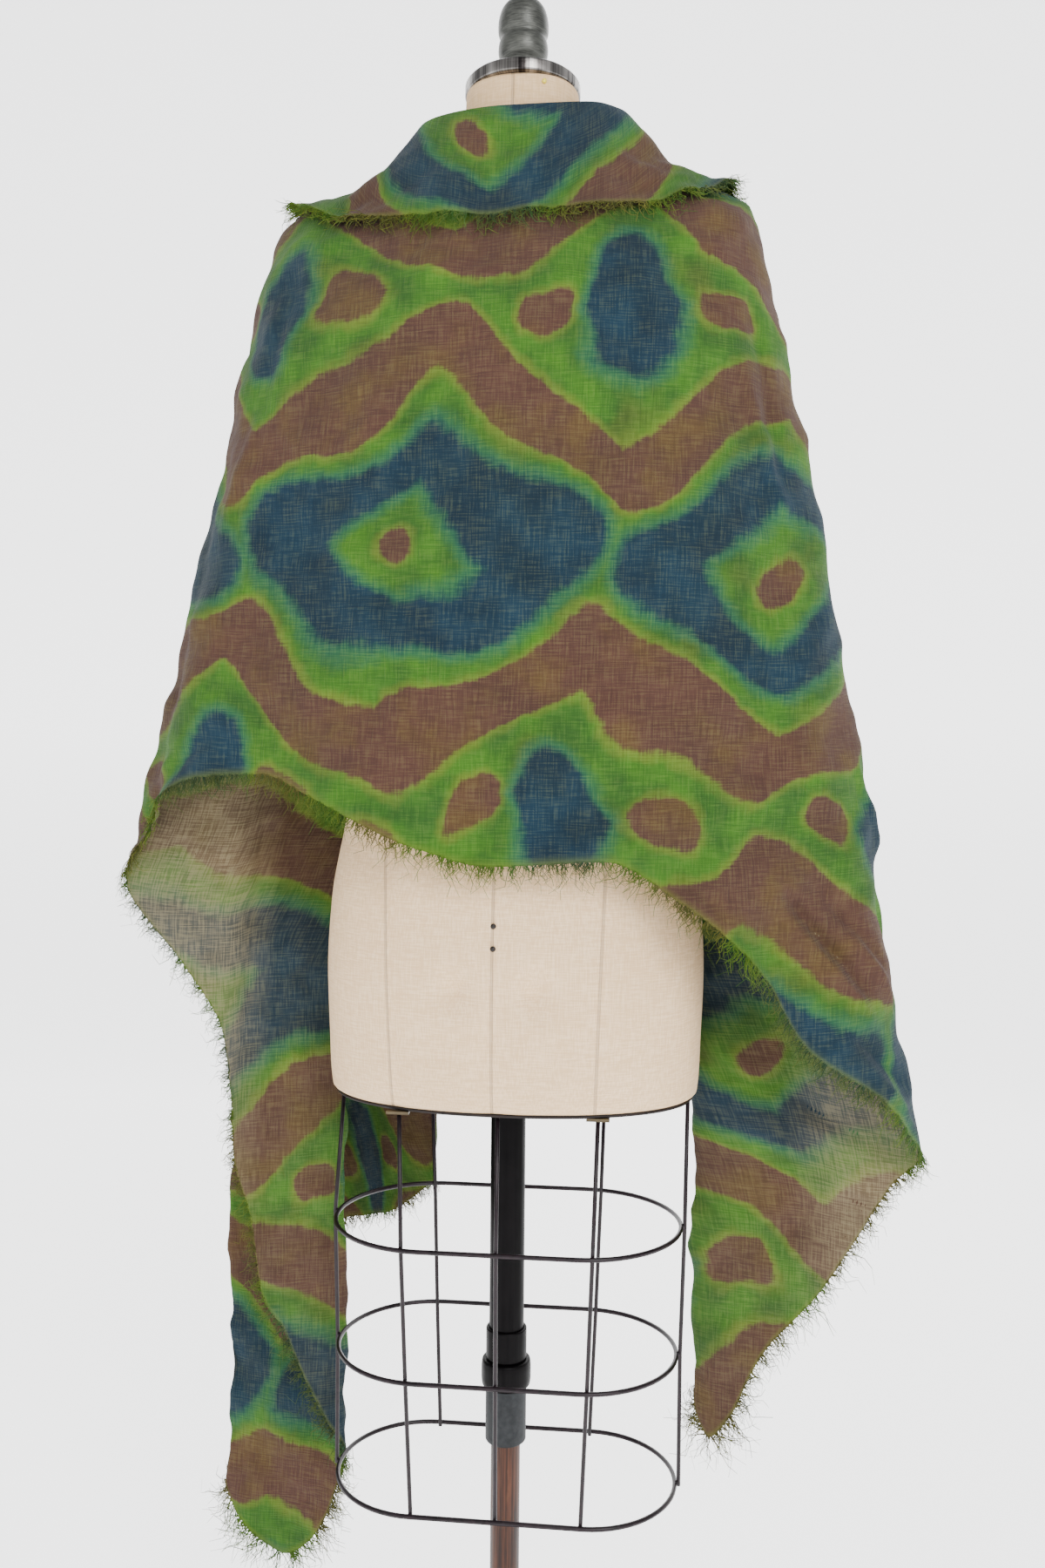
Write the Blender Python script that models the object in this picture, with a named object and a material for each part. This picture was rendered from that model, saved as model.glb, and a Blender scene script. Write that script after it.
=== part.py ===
"""A linen shawl worn on a limbless dress form with a wire skirt cage and a round-based stand.

Metres, +Z up. The form's back faces -Y, its front +Y, and its pole stands on the Z axis with the
underside of the base at Z = 0. The shawl is one rectangle of cloth: its long upper edge is turned over
outwards as a collar, and its two ends hang down in front of the shoulders in soft Z-shaped folds.

The cloth is described by ribs. A rib is a thread line that starts on the neck fold, leaves the shoulders
at the yoke line and ends at the lower edge. A bearing says which way round the form a rib lies: 0 is the
centre back, +90 the right of the back view, and -168 and +168 are the two front edges.
"""
import math
import random

import bpy
import numpy as np

# ---------------------------------------------------------------- driving dimensions
SEAM_GAP = 0.0003
FLAT_GAP = 0.0003

CLOTH_WALL = 0.0012
CLOTH_OFF_BODY = 0.0034          # middle of the cloth wall to the form, at the nearest
COLLAR_RISE = (0.0016, 0.0052)   # middle of the collar to middle of the cloth: at the fold, at its edge
COLLAR_SWELL = 0.4               # share of the collar over which that rise is reached
FRAY_STRIP = 0.0042
FRAY_GAP = 0.0005
FRAY_ROOT = 0.0032
FRAY_PITCH = 0.030
FRAY_LENGTH = (0.007, 0.014)
EDGE_SLANT = 0.3                 # least sine of the angle at which a rib is taken to meet its edge
COLLAR_ROWS = 5
HANG_ROWS = 10
RIB_KNOTS = (0.0, 0.085, 0.26, 0.63, 1.0)
YOKE_ROUNDNESS = 0.6             # 1 lets the cloth swing wide over the shoulders, less turns it sharper
HANG_CROWD = 1.3                 # over 1, the rows of the hang crowd up towards the collar
FINE_STATIONS = 161              # places along a rib at which its length is measured
CLEAR_PASSES = 6                 # times a point is moved out of the form until it is clear
TINY_STEP = 1e-4
LOCK_SCATTER = 0.12              # how far a lock strays from its place, as a share of the pitch
LOCK_LEAN = 0.35                 # how far a lock's tip leans along the edge, as a share of its length
WIDE_STEP = 9.0                  # degrees of bearing between ribs that get one more between them

BODY_BOTTOM = 0.7245
BODY_ASIDE = 0.005               # the form sits this far to the right of its pole
RIM_THICK = 0.0025
BODY_SIDES = 40
BODY_SQUARENESS = 2.25
NECK_SPLIT = 1.6020
NECK_TOP = 1.6410
WIRE_RADIUS = 0.0021
UPRIGHT_RADIUS = 0.0019
RING_SIDES = 6
ROD_RADIUS = 0.0137
TUBE_BORE = 0.0142
TUBE_RADIUS = 0.0162
TUBE_BOTTOM = 0.393
TUBE_TOP_WALL = 0.004
TUBE_VENT = 0.0010
ROD_TOP = 0.660
BASE_RADIUS = 0.215
BASE_THICK = 0.014
HUB_TOP = 0.060
TURN_SIDES = 24

# ---------------------------------------------------------------- tables
# The form, from its lower rim to the neck: height, half width, half depth, and how far its middle
# lies forward of the pole.
BODY = dict(
    height=(0.7245, 0.7290, 0.780, 0.840, 0.900, 0.970, 1.050, 1.150, 1.250, 1.330, 1.400, 1.460,
            1.500, 1.525, 1.545, 1.560, 1.575, 1.590, 1.602, 1.620, 1.6410),
    half_width=(0.1660, 0.1695, 0.1725, 0.1745, 0.1715, 0.160, 0.146, 0.151, 0.163, 0.174, 0.184, 0.190,
                0.184, 0.170, 0.146, 0.121, 0.092, 0.069, 0.0575, 0.0530, 0.0520),
    half_depth=(0.0990, 0.1030, 0.1130, 0.1165, 0.112, 0.101, 0.092, 0.101, 0.117, 0.112, 0.100, 0.092,
                0.084, 0.078, 0.072, 0.066, 0.060, 0.055, 0.0510, 0.0490, 0.0480),
    forward=(0.000, 0.000, 0.000, 0.000, 0.000, 0.002, 0.004, 0.006, 0.010, 0.008, 0.003, 0.000,
             0.000, 0.000, 0.000, 0.000, 0.000, 0.000, 0.000, 0.000, 0.000),
)

# The neck fold, where the upper edge of the cloth turns over: bearing, place, how far the turned-over
# collar reaches down from it, and how far the cloth dips on its way from the fold to the yoke.
FOLD_LINE = dict(
    bearing=(-168, -163, -158, -152, -145, -136, -122, -108, -90, -60, -30, 0,
             30, 60, 90, 108, 122, 136, 145, 152, 158, 163, 168),
    x=(-0.090, -0.086, -0.079, -0.070, -0.062, -0.066, -0.080, -0.090, -0.094, -0.080, -0.045, 0.000,
       0.045, 0.082, 0.103, 0.096, 0.080, 0.066, 0.062, 0.066, 0.070, 0.073, 0.076),
    y=(0.139, 0.141, 0.142, 0.142, 0.137, 0.118, 0.080, 0.040, 0.000, -0.036, -0.059, -0.070,
       -0.059, -0.036, 0.000, 0.040, 0.080, 0.118, 0.137, 0.142, 0.142, 0.141, 0.139),
    z=(0.760, 0.880, 1.010, 1.150, 1.290, 1.430, 1.525, 1.576, 1.599, 1.602, 1.600, 1.598,
       1.604, 1.613, 1.616, 1.584, 1.525, 1.430, 1.310, 1.210, 1.120, 1.040, 0.960),
    collar=(0.010, 0.014, 0.026, 0.052, 0.082, 0.110, 0.124, 0.128, 0.132, 0.122, 0.114, 0.112,
            0.116, 0.122, 0.122, 0.124, 0.120, 0.110, 0.082, 0.052, 0.026, 0.014, 0.010),
    dip=(0.000, 0.000, 0.000, 0.000, 0.000, 0.000, 0.006, 0.013, 0.018, 0.011, 0.004, 0.000,
         0.003, 0.009, 0.016, 0.011, 0.004, 0.000, 0.000, 0.000, 0.000, 0.000, 0.000),
)

# The yoke line, where the cloth leaves the shoulders and starts to hang.
YOKE_LINE = dict(
    bearing=(-168, -158, -150, -143, -134, -124, -114, -102, -90, -80, -60, -30, 0,
             30, 60, 80, 90, 102, 114, 124, 134, 143, 150, 158, 168),
    x=(-0.091, -0.104, -0.112, -0.120, -0.134, -0.152, -0.176, -0.198, -0.212, -0.200, -0.156, -0.078, 0.000,
       0.078, 0.156, 0.200, 0.212, 0.198, 0.176, 0.152, 0.134, 0.120, 0.110, 0.098, 0.078),
    y=(0.137, 0.138, 0.137, 0.130, 0.110, 0.088, 0.064, 0.032, -0.008, -0.042, -0.086, -0.112, -0.119,
       -0.112, -0.086, -0.042, -0.008, 0.032, 0.064, 0.088, 0.110, 0.130, 0.137, 0.138, 0.137),
    z=(0.715, 0.880, 1.070, 1.230, 1.380, 1.440, 1.475, 1.510, 1.528, 1.512, 1.470, 1.432, 1.420,
       1.432, 1.470, 1.513, 1.529, 1.511, 1.475, 1.440, 1.380, 1.270, 1.150, 1.040, 0.915),
)

# The lower edge of the cloth, a row for each fold, tip, corner and the stretches between them; how far
# the hanging cloth bows outwards half way down, and how far it leans along X there.
LOWER_EDGE = dict(
    bearing=(-168, -160, -152, -145, -139, -134, -131, -128, -125, -121,
             -117, -114, -111, -108, -105, -102, -99, -96, -93, -90,
             -85, -78, -68, -56, -44, -32, -18, 0, 16, 28, 42, 52, 60, 68, 76, 84, 90,
             94, 99, 104, 110, 116, 120, 124, 129, 134, 138, 144, 151, 159, 168),
    x=(-0.092, -0.147, -0.184, -0.227, -0.270, -0.290, -0.268, -0.227, -0.190, -0.163,
       -0.177, -0.196, -0.220, -0.240, -0.252, -0.269, -0.2725, -0.279, -0.318, -0.362,
       -0.325, -0.304, -0.265, -0.214, -0.168, -0.123, -0.063, -0.004, 0.054, 0.097, 0.161, 0.205, 0.238,
       0.269, 0.312, 0.351, 0.370,
       0.352, 0.315, 0.284, 0.237, 0.208, 0.189, 0.176, 0.200, 0.244, 0.268, 0.238, 0.190, 0.132, 0.080),
    y=(0.135, 0.132, 0.122, 0.102, 0.080, 0.062, 0.054, 0.048, 0.042, 0.032,
       0.024, 0.021, 0.018, 0.016, 0.014, 0.012, 0.008, 0.004, -0.004, -0.022,
       -0.052, -0.072, -0.092, -0.108, -0.120, -0.130, -0.134, -0.136, -0.134, -0.134, -0.126, -0.116, -0.106,
       -0.094, -0.074, -0.046, -0.014,
       0.006, 0.014, 0.016, 0.018, 0.020, 0.024, 0.036, 0.048, 0.060, 0.074, 0.094, 0.114, 0.130, 0.137),
    z=(0.588, 0.552, 0.549, 0.480, 0.379, 0.300, 0.263, 0.237, 0.268, 0.352,
       0.384, 0.421, 0.475, 0.506, 0.582, 0.645, 0.719, 0.770, 0.836, 0.905,
       0.963, 0.991, 1.011, 1.015, 0.999, 0.980, 0.954, 0.940, 0.943, 0.945, 0.906, 0.870, 0.841,
       0.785, 0.748, 0.711, 0.674,
       0.644, 0.579, 0.532, 0.475, 0.415, 0.393, 0.428, 0.480, 0.545, 0.600, 0.655, 0.705, 0.755, 0.800),
    bow=(0.000, 0.004, 0.006, 0.006, 0.004, 0.000, 0.000, 0.000, 0.000, 0.000,
         0.000, 0.000, 0.000, 0.000, 0.001, 0.002, 0.003, 0.004, 0.005, 0.006,
         0.006, 0.006, 0.006, 0.004, 0.000, 0.000, 0.000, 0.000, 0.000, 0.000, 0.002, 0.006, 0.008,
         0.010, 0.013, 0.013, 0.011,
         0.009, 0.007, 0.004, 0.002, 0.000, 0.000, 0.000, 0.000, 0.002, 0.004, 0.006, 0.006, 0.004, 0.000),
    lean=(0.000, -0.012, -0.024, -0.040, -0.056, -0.064, -0.058, -0.044, -0.026, -0.004,
          0.000, 0.000, 0.000, 0.000, 0.000, 0.000, 0.000, 0.000, 0.000, 0.000,
          0.000, 0.000, 0.000, 0.000, 0.000, 0.000, 0.000, 0.000, 0.000, 0.000, 0.000, 0.000, 0.000,
          0.000, 0.000, 0.000, 0.000,
          0.000, 0.000, 0.000, 0.000, 0.000, 0.002, 0.006, 0.020, 0.034, 0.044, 0.034, 0.020, 0.010, 0.000),
)

# Soft folds pressed into the back and the sides: bearing of the fold, its half width in degrees of
# bearing, how far it stands out (or in, if negative) at the lower edge, and where down the rib it starts.
SOFT_FOLDS = dict(
    bearing=(-74, -50, -24, 22, 46, 62, 78),
    half_width=(8, 9, 10, 11, 8, 7, 7),
    depth=(0.010, -0.006, 0.005, -0.005, 0.007, -0.009, 0.010),
    start=(0.35, 0.45, 0.60, 0.55, 0.40, 0.35, 0.40),
)

# The stretches of cloth that show, each between two bearings.
CLOTH_STRETCHES = dict(
    name=("shawl_left_front", "shawl_left_end", "shawl_left_inner", "shawl_back",
          "shawl_right_inner", "shawl_right_end", "shawl_right_front"),
    first=(-168, -134, -121, -90, 90, 124, 138),
    last=(-134, -121, -90, 90, 124, 138, 168),
)
COLLAR_STRETCHES = dict(
    name=("collar_left_front", "collar_back", "collar_right_front"),
    first=(-152, -90, 90),
    last=(-90, 90, 151),
)

# The wire rings of the cage: height, half width, half depth, and where the uprights on the back and
# front runs stand.
RINGS = dict(
    height=(0.600, 0.4814, 0.3613),
    half_width=(0.1615, 0.1583, 0.1581),
    half_depth=(0.0925, 0.0868, 0.0818),
    upright=(0.0840, 0.0800, 0.0752),
)
UPRIGHT_TOP = 0.0875             # how far aside the back and front uprights meet the rim
UPRIGHT_TOP_DEPTH = 0.0865       # half depth of the line on which they meet it
SIDE_UPRIGHT_IN = 0.0045         # the side uprights meet the rim this far inside its edge
RING_TURN_STEPS = 12
TAB_SIZE = (0.020, 0.0060, 0.0024)
TAB_PAST_LINE = 0.004

# Turned pieces on the pole, bottom to top, as bands of radius: name, lower end, upper end, radius.
CLAMP_PIECES = dict(
    name=("clamp_sleeve", "clamp_flange", "clamp_collar"),
    bottom=(0.393, 0.4450, 0.4700),
    top=(0.4447, 0.4697, 0.4990),
    radius=(0.0190, 0.0232, 0.0190),
)

NECK_BAND_HEIGHT = 0.0125
NECK_BAND_RADIUS = 0.0535
FINIAL_PROFILE = dict(
    radius=(0.0200, 0.0202, 0.0172, 0.0172, 0.0222, 0.0232, 0.0226, 0.0214,
            0.0228, 0.0235, 0.0226, 0.0196, 0.0140, 0.0060),
    height=(0.0000, 0.0050, 0.0085, 0.0180, 0.0245, 0.0330, 0.0400, 0.0425,
            0.0460, 0.0530, 0.0620, 0.0705, 0.0768, 0.0795),
)

COLOURS = dict(
    cloth=(0.16, 0.25, 0.13), collar=(0.10, 0.20, 0.19), fray=(0.35, 0.45, 0.22),
    linen=(0.72, 0.63, 0.50), rim=(0.05, 0.04, 0.04), steel=(0.55, 0.55, 0.54),
    finial=(0.48, 0.49, 0.50), wire=(0.03, 0.02, 0.025), tube=(0.02, 0.02, 0.022),
    sleeve=(0.25, 0.26, 0.28), rod=(0.22, 0.11, 0.07), base=(0.03, 0.03, 0.032),
)


# ---------------------------------------------------------------- materials and meshes
def material(name, roughness=0.6, metallic=0.0):
    """A Principled material in one of the object's colours."""
    mat = bpy.data.materials.get(name)
    if mat is None:
        mat = bpy.data.materials.new(name)
        mat.use_nodes = True
        shader = mat.node_tree.nodes["Principled BSDF"]
        shader.inputs["Base Color"].default_value = (*COLOURS[name], 1.0)
        shader.inputs["Roughness"].default_value = roughness
        shader.inputs["Metallic"].default_value = metallic
    return mat


def add_object(name, points, faces, mat, smooth=True):
    mesh = bpy.data.meshes.new(name)
    mesh.from_pydata([tuple(map(float, p)) for p in points], [], faces)
    mesh.update()
    mesh.materials.append(mat)
    if smooth:
        mesh.shade_smooth()
        mesh.set_sharp_from_angle(angle=math.radians(40))
    obj = bpy.data.objects.new(name, mesh)
    bpy.context.scene.collection.objects.link(obj)
    return obj


def ring_stack(name, rings, mat, closed_path=False):
    """Joins equal rings of points into a closed skin, with flat ends or, on a closed path, none."""
    rings = np.asarray(rings)
    count, sides = rings.shape[:2]
    faces = []
    for i in range(count if closed_path else count - 1):
        j = (i + 1) % count
        for k in range(sides):
            n = (k + 1) % sides
            faces.append((i * sides + k, i * sides + n, j * sides + n, j * sides + k))
    if not closed_path:
        faces.append(tuple(reversed(range(sides))))
        faces.append(tuple((count - 1) * sides + k for k in range(sides)))
    return add_object(name, rings.reshape(-1, 3), faces, mat)


def turned(name, radius, height, mat, bottom=0.0, sides=TURN_SIDES, closed_profile=False, aside=0.0):
    """Turns a profile, read upwards on its outer side, about the pole's axis or one aside of it."""
    angle = np.arange(sides) * 2.0 * math.pi / sides
    rings = [np.stack([aside + r * np.cos(angle), r * np.sin(angle), np.full(sides, bottom + h)], -1)
             for r, h in zip(radius, height)]
    return ring_stack(name, rings, mat, closed_path=closed_profile)


def tube_along(name, path, radius, mat, sides=RING_SIDES, closed=False):
    """A round wire along a path, its section square to the path."""
    path = np.asarray(path, float)
    ahead = np.roll(path, -1, 0) - np.roll(path, 1, 0)
    if not closed:
        ahead[0], ahead[-1] = path[1] - path[0], path[-1] - path[-2]
    ahead /= np.linalg.norm(ahead, axis=1)[:, None]
    upright_run = np.abs(ahead[:, 2:3]) > 0.9
    side = np.cross(ahead, np.where(upright_run, (0.0, 1.0, 0.0), (0.0, 0.0, 1.0)))
    side /= np.linalg.norm(side, axis=1)[:, None]
    other = np.cross(ahead, side)
    angle = np.arange(sides) * 2.0 * math.pi / sides
    rings = (path[:, None] + radius * (np.cos(angle)[None, :, None] * side[:, None]
                                       + np.sin(angle)[None, :, None] * other[:, None]))
    return ring_stack(name, rings, mat, closed_path=closed)


# ---------------------------------------------------------------- smooth curves through table columns
def read_table(table, column, at):
    """A column read between its rows: a cubic through each pair that never overshoots them."""
    knots = np.asarray(table["bearing" if "bearing" in table else "height"], float)
    values = np.asarray(table[column], float)
    step = np.diff(knots)
    rise = np.diff(values) / step
    slope = np.zeros_like(values)
    same = rise[:-1] * rise[1:] > 0
    left_weight, right_weight = 2 * step[1:] + step[:-1], step[1:] + 2 * step[:-1]
    safe = np.where(same, rise[:-1] * rise[1:], 1.0)
    slope[1:-1] = np.where(
        same,
        (left_weight + right_weight) * safe / (left_weight * rise[1:] + right_weight * rise[:-1] + (~same)),
        0.0)
    slope[0], slope[-1] = rise[0], rise[-1]
    at = np.clip(np.asarray(at, float), knots[0], knots[-1])
    i = np.clip(np.searchsorted(knots, at, side="right") - 1, 0, len(knots) - 2)
    t = (at - knots[i]) / step[i]
    return ((1 + 2 * t) * (1 - t) ** 2 * values[i] + t * (1 - t) ** 2 * step[i] * slope[i]
            + t * t * (3 - 2 * t) * values[i + 1] + t * t * (t - 1) * step[i] * slope[i + 1])


def line_at(table, bearing):
    return np.stack([read_table(table, axis, bearing) for axis in "xyz"], -1)


# ---------------------------------------------------------------- the form under the cloth
def body_measure(points):
    """About how far each point lies outside the form's surface, in metres (negative inside)."""
    x, y, z = points[..., 0] - BODY_ASIDE, points[..., 1], points[..., 2]
    half_width = read_table(BODY, "half_width", z)
    half_depth = read_table(BODY, "half_depth", z)
    forward = read_table(BODY, "forward", z)
    power = BODY_SQUARENESS
    reach = (np.abs(x / half_width) ** power + np.abs((y - forward) / half_depth) ** power + 1e-12)
    return reach ** (1 / power) - 1.0


def clear_of_body(points, gap):
    """Moves any point that is nearer to the form than the gap straight out of it."""
    for _ in range(CLEAR_PASSES):
        value = body_measure(points)
        slope = np.stack([(body_measure(points + TINY_STEP * axis) - value) / TINY_STEP
                          for axis in np.eye(3)], -1)
        steep = np.linalg.norm(slope, axis=-1) + 1e-9
        short = np.maximum(gap - value / steep, 0.0)
        points = points + (short / steep)[..., None] * slope
    return points


def body_ring(height, grow=0.0):
    """A section of the form: a squarish oval."""
    angle = np.arange(BODY_SIDES) * 2.0 * math.pi / BODY_SIDES
    power = 2.0 / BODY_SQUARENESS
    cos, sin = np.cos(angle), np.sin(angle)
    x = (read_table(BODY, "half_width", height) + grow) * np.sign(cos) * np.abs(cos) ** power
    y = (read_table(BODY, "half_depth", height) + grow) * np.sign(sin) * np.abs(sin) ** power
    return np.stack([x + BODY_ASIDE, y + read_table(BODY, "forward", height), np.full(BODY_SIDES, height)], -1)


# ---------------------------------------------------------------- the cloth
def cloth_points(bearing, share):
    """The cloth's middle surface: bearings down the first axis, shares of each rib along the second.

    A rib is a smooth cubic through five places: the neck fold, the dip beside the neck, the yoke, the
    middle of the hang and the lower edge.
    """
    fold, yoke, edge = (line_at(table, bearing) for table in (FOLD_LINE, YOKE_LINE, LOWER_EDGE))
    angle = np.radians(bearing)
    outward = np.stack([np.sin(angle), -np.cos(angle), np.zeros_like(angle)], -1)
    middle = 0.5 * (yoke + edge) + read_table(LOWER_EDGE, "bow", bearing)[:, None] * outward
    middle[:, 0] += read_table(LOWER_EDGE, "lean", bearing)
    knots = np.array(RIB_KNOTS)
    beside = fold + (yoke - fold) * knots[1] / knots[2]
    beside[:, 2] -= read_table(FOLD_LINE, "dip", bearing)
    places = np.stack([fold, beside, yoke, middle, edge], 1)
    step = np.diff(knots)[None, :, None]
    rise = np.diff(places, axis=1) / step
    inside = (rise[:, :-1] * step[:, 1:] + rise[:, 1:] * step[:, :-1]) / (step[:, 1:] + step[:, :-1])
    slope = np.concatenate([rise[:, :1], inside, rise[:, -1:]], 1)
    slope[:, 2] *= YOKE_ROUNDNESS
    i = np.clip(np.searchsorted(knots, share, side="right") - 1, 0, len(knots) - 2)
    span = (knots[i + 1] - knots[i])[..., None]
    t = ((share - knots[i]) / (knots[i + 1] - knots[i]))[..., None]
    row = np.arange(len(bearing))[:, None]
    points = ((1 + 2 * t) * (1 - t) ** 2 * places[row, i] + t * (1 - t) ** 2 * span * slope[row, i]
              + t * t * (3 - 2 * t) * places[row, i + 1] + t * t * (t - 1) * span * slope[row, i + 1])
    points = points + soft_folds(bearing, share)[..., None] * outward[:, None]
    return clear_of_body(points, CLOTH_OFF_BODY)


def rib_stations(bearing):
    """Shares at which each rib has its points: even down to the collar's edge, then ever wider apart."""
    fine = np.tile(np.linspace(0.0, 1.0, FINE_STATIONS), (len(bearing), 1))
    steps = np.linalg.norm(np.diff(cloth_points(bearing, fine), axis=1), axis=-1)
    run = np.concatenate([np.zeros((len(bearing), 1)), np.cumsum(steps, 1)], 1)
    reach = read_table(FOLD_LINE, "collar", bearing)
    collar = np.array([np.interp(r, a, b) for r, a, b in zip(reach, run, fine)])[:, None]
    upper = collar * np.linspace(0.0, 1.0, COLLAR_ROWS + 1)[None, :-1]
    lower = collar + (1 - collar) * np.linspace(0.0, 1.0, HANG_ROWS + 1)[None] ** HANG_CROWD
    return np.concatenate([upper, lower], 1)


def soft_folds(bearing, share):
    """How far the soft folds stand out at each point: a bell across the rib, growing down it."""
    out = np.zeros_like(share)
    for centre, half_width, depth, start in zip(*(SOFT_FOLDS[c] for c in
                                                  ("bearing", "half_width", "depth", "start"))):
        across = np.exp(-((bearing - centre) / half_width) ** 2)
        down = np.clip((share - start) / (1 - start), 0, 1) ** 1.5
        out += depth * across[:, None] * down
    return out


def cloth_normals(bearing, share):
    """Unit normals of the cloth on its right side, which faces out at the back."""
    turn, slide = 0.4, 0.004
    along = cloth_points(bearing + turn, share) - cloth_points(bearing - turn, share)
    low, high = np.clip(share - slide, 0, 1), np.clip(share + slide, 0, 1)
    down = cloth_points(bearing, high) - cloth_points(bearing, low)
    normal = np.cross(down, along)
    return normal / np.linalg.norm(normal, axis=-1)[..., None]


def rib_bearings(first, last):
    """The lower edge's bearings within a stretch, with one more between wide pairs and by a seam."""
    rows = [float(b) for b in LOWER_EDGE["bearing"] if first <= b <= last]
    seams = CLOTH_STRETCHES["first"] + CLOTH_STRETCHES["last"]
    fine = [rows[0]]
    for a, b in zip(rows, rows[1:]):
        if b - a > WIDE_STEP or a in seams or b in seams:
            fine.append(0.5 * (a + b))
        fine.append(b)
    return np.array(fine)


def pull_in(points, normals, distance):
    """Draws the first and last ribs in from the seam, square to it, as two mitred edges."""
    points = points.copy()
    for edge, inner in ((0, 1), (-1, -2)):
        down = np.gradient(points[edge], axis=0)
        square = np.cross(normals[edge], down)
        square *= np.sign(np.sum(square * (points[inner] - points[edge]), -1))[:, None]
        points[edge] += distance * square / np.linalg.norm(square, axis=-1)[:, None]
    return points


def wall(name, middle, normals, mat):
    """A closed wall of the cloth's thickness round a grid of middle points."""
    rows, columns = middle.shape[:2]
    half = 0.5 * CLOTH_WALL
    points = np.concatenate([(middle + half * normals).reshape(-1, 3), (middle - half * normals).reshape(-1, 3)])
    inner = rows * columns
    faces = []
    for i in range(rows - 1):
        for j in range(columns - 1):
            a, b = i * columns + j, i * columns + j + 1
            c, d = (i + 1) * columns + j + 1, (i + 1) * columns + j
            faces += [(a, b, c), (a, c, d)]
            faces += [(inner + a, inner + c, inner + b), (inner + a, inner + d, inner + c)]
    rim = ([j for j in range(columns)] + [i * columns + columns - 1 for i in range(1, rows)]
           + [(rows - 1) * columns + j for j in range(columns - 2, -1, -1)]
           + [i * columns for i in range(rows - 2, 0, -1)])
    for a, b in zip(rim, rim[1:] + rim[:1]):
        faces.append((b, a, inner + a, inner + b))
    return add_object(name, points, faces, mat)


def lock_places(run, chance):
    """Where the loose locks stand along an edge: spread between the ribs, clear of each of them."""
    places = []
    for start, end in zip(run, run[1:]):
        count = int(round((end - start) / FRAY_PITCH))
        pitch = (end - start) / max(count, 1)
        places += [start + (k + 0.5 + chance.uniform(-LOCK_SCATTER, LOCK_SCATTER)) * pitch for k in range(count)]
    return places


def frayed_strip(name, edge, inward, outward, normals, mat, seed):
    """A narrow strip along an edge, with loose thread locks standing out of its outer face.

    The edge is a row of points, inward points from it up the ribs and outward square off it. Each
    lock is a four-sided spike whose root is the strip's own outer face.
    """
    chance = random.Random(seed)
    run = np.concatenate([[0.0], np.cumsum(np.linalg.norm(np.diff(edge, axis=0), axis=1))])
    stops = {place: False for place in run}
    for place in lock_places(run, chance):
        stops[place - 0.5 * FRAY_ROOT] = True
        stops[place + 0.5 * FRAY_ROOT] = False
    order = sorted(stops)
    at, into, out, up = (np.stack([np.interp(order, run, values[:, axis]) for axis in range(3)], -1)
                         for values in (edge, inward, outward, normals))
    half = 0.5 * CLOTH_WALL
    points = list(np.stack([at + half * up, at - half * up, at - half * up + FRAY_STRIP * into,
                            at + half * up + FRAY_STRIP * into], 1).reshape(-1, 3))
    faces = [(3, 2, 1, 0)]
    for k, place in enumerate(order[:-1]):
        a, b = 4 * k, 4 * k + 4
        faces += [(a + 1, a + 2, b + 2, b + 1), (a + 2, a + 3, b + 3, b + 2), (a + 3, a, b, b + 3)]
        outer = (a, a + 1, b + 1, b)
        if not stops[place]:
            faces.append(outer)
            continue
        ahead = (at[k + 1] - at[k]) / np.linalg.norm(at[k + 1] - at[k])
        reach = chance.uniform(*FRAY_LENGTH)
        tip = 0.5 * (at[k] + at[k + 1]) + reach * out[k] + chance.uniform(-LOCK_LEAN, LOCK_LEAN) * reach * ahead
        faces += [(c, d, len(points)) for c, d in zip(outer, outer[1:] + outer[:1])]
        points.append(tip)
    last = 4 * (len(order) - 1)
    faces.append((last, last + 1, last + 2, last + 3))
    return add_object(name, points, faces, mat, smooth=False)


def edge_of(middle, normals):
    """The lower edge: its points, the way up the ribs for one unit of width, the way out, the normals."""
    edge = middle[:, -1]
    inward = middle[:, -2] - edge
    inward /= np.linalg.norm(inward, axis=-1)[:, None]
    ahead = np.gradient(edge, axis=0)
    ahead /= np.linalg.norm(ahead, axis=-1)[:, None]
    outward = np.sum(inward * ahead, -1)[:, None] * ahead - inward
    slant = np.linalg.norm(outward, axis=-1)[:, None]
    return edge, inward / np.maximum(slant, EDGE_SLANT), outward / slant, normals[:, -1]


def sew(name, middle, normals, mat):
    """A wall whose lower edge is parted from a frayed strip; returns what the strip needs."""
    middle = pull_in(middle, normals, 0.5 * SEAM_GAP)
    edge = edge_of(middle, normals)
    short = middle.copy()
    short[:, -1] += edge[1] * (FRAY_STRIP + FRAY_GAP)
    wall(name, short, normals, mat)
    return edge


def build_cloth():
    """The hanging stretches, then the turned-over collar, made from their points and moved out."""
    edges = {}
    for name, first, last in zip(*(CLOTH_STRETCHES[c] for c in ("name", "first", "last"))):
        bearing = rib_bearings(first, last)
        share = rib_stations(bearing)
        edges[name] = sew(name, cloth_points(bearing, share), cloth_normals(bearing, share),
                          material("cloth", 0.95))
    down = np.arange(COLLAR_ROWS + 1) / COLLAR_ROWS
    swell = np.sin(0.5 * math.pi * np.minimum(down / COLLAR_SWELL, 1.0))
    rise = COLLAR_RISE[0] + (COLLAR_RISE[1] - COLLAR_RISE[0]) * swell
    for name, first, last in zip(*(COLLAR_STRETCHES[c] for c in ("name", "first", "last"))):
        bearing = rib_bearings(first, last)
        share = rib_stations(bearing)[:, :COLLAR_ROWS + 1]
        normals = cloth_normals(bearing, share)
        middle = cloth_points(bearing, share) + rise[None, :, None] * normals
        edges[name] = sew(name, middle, normals, material("collar", 0.95))
    return edges


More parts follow.
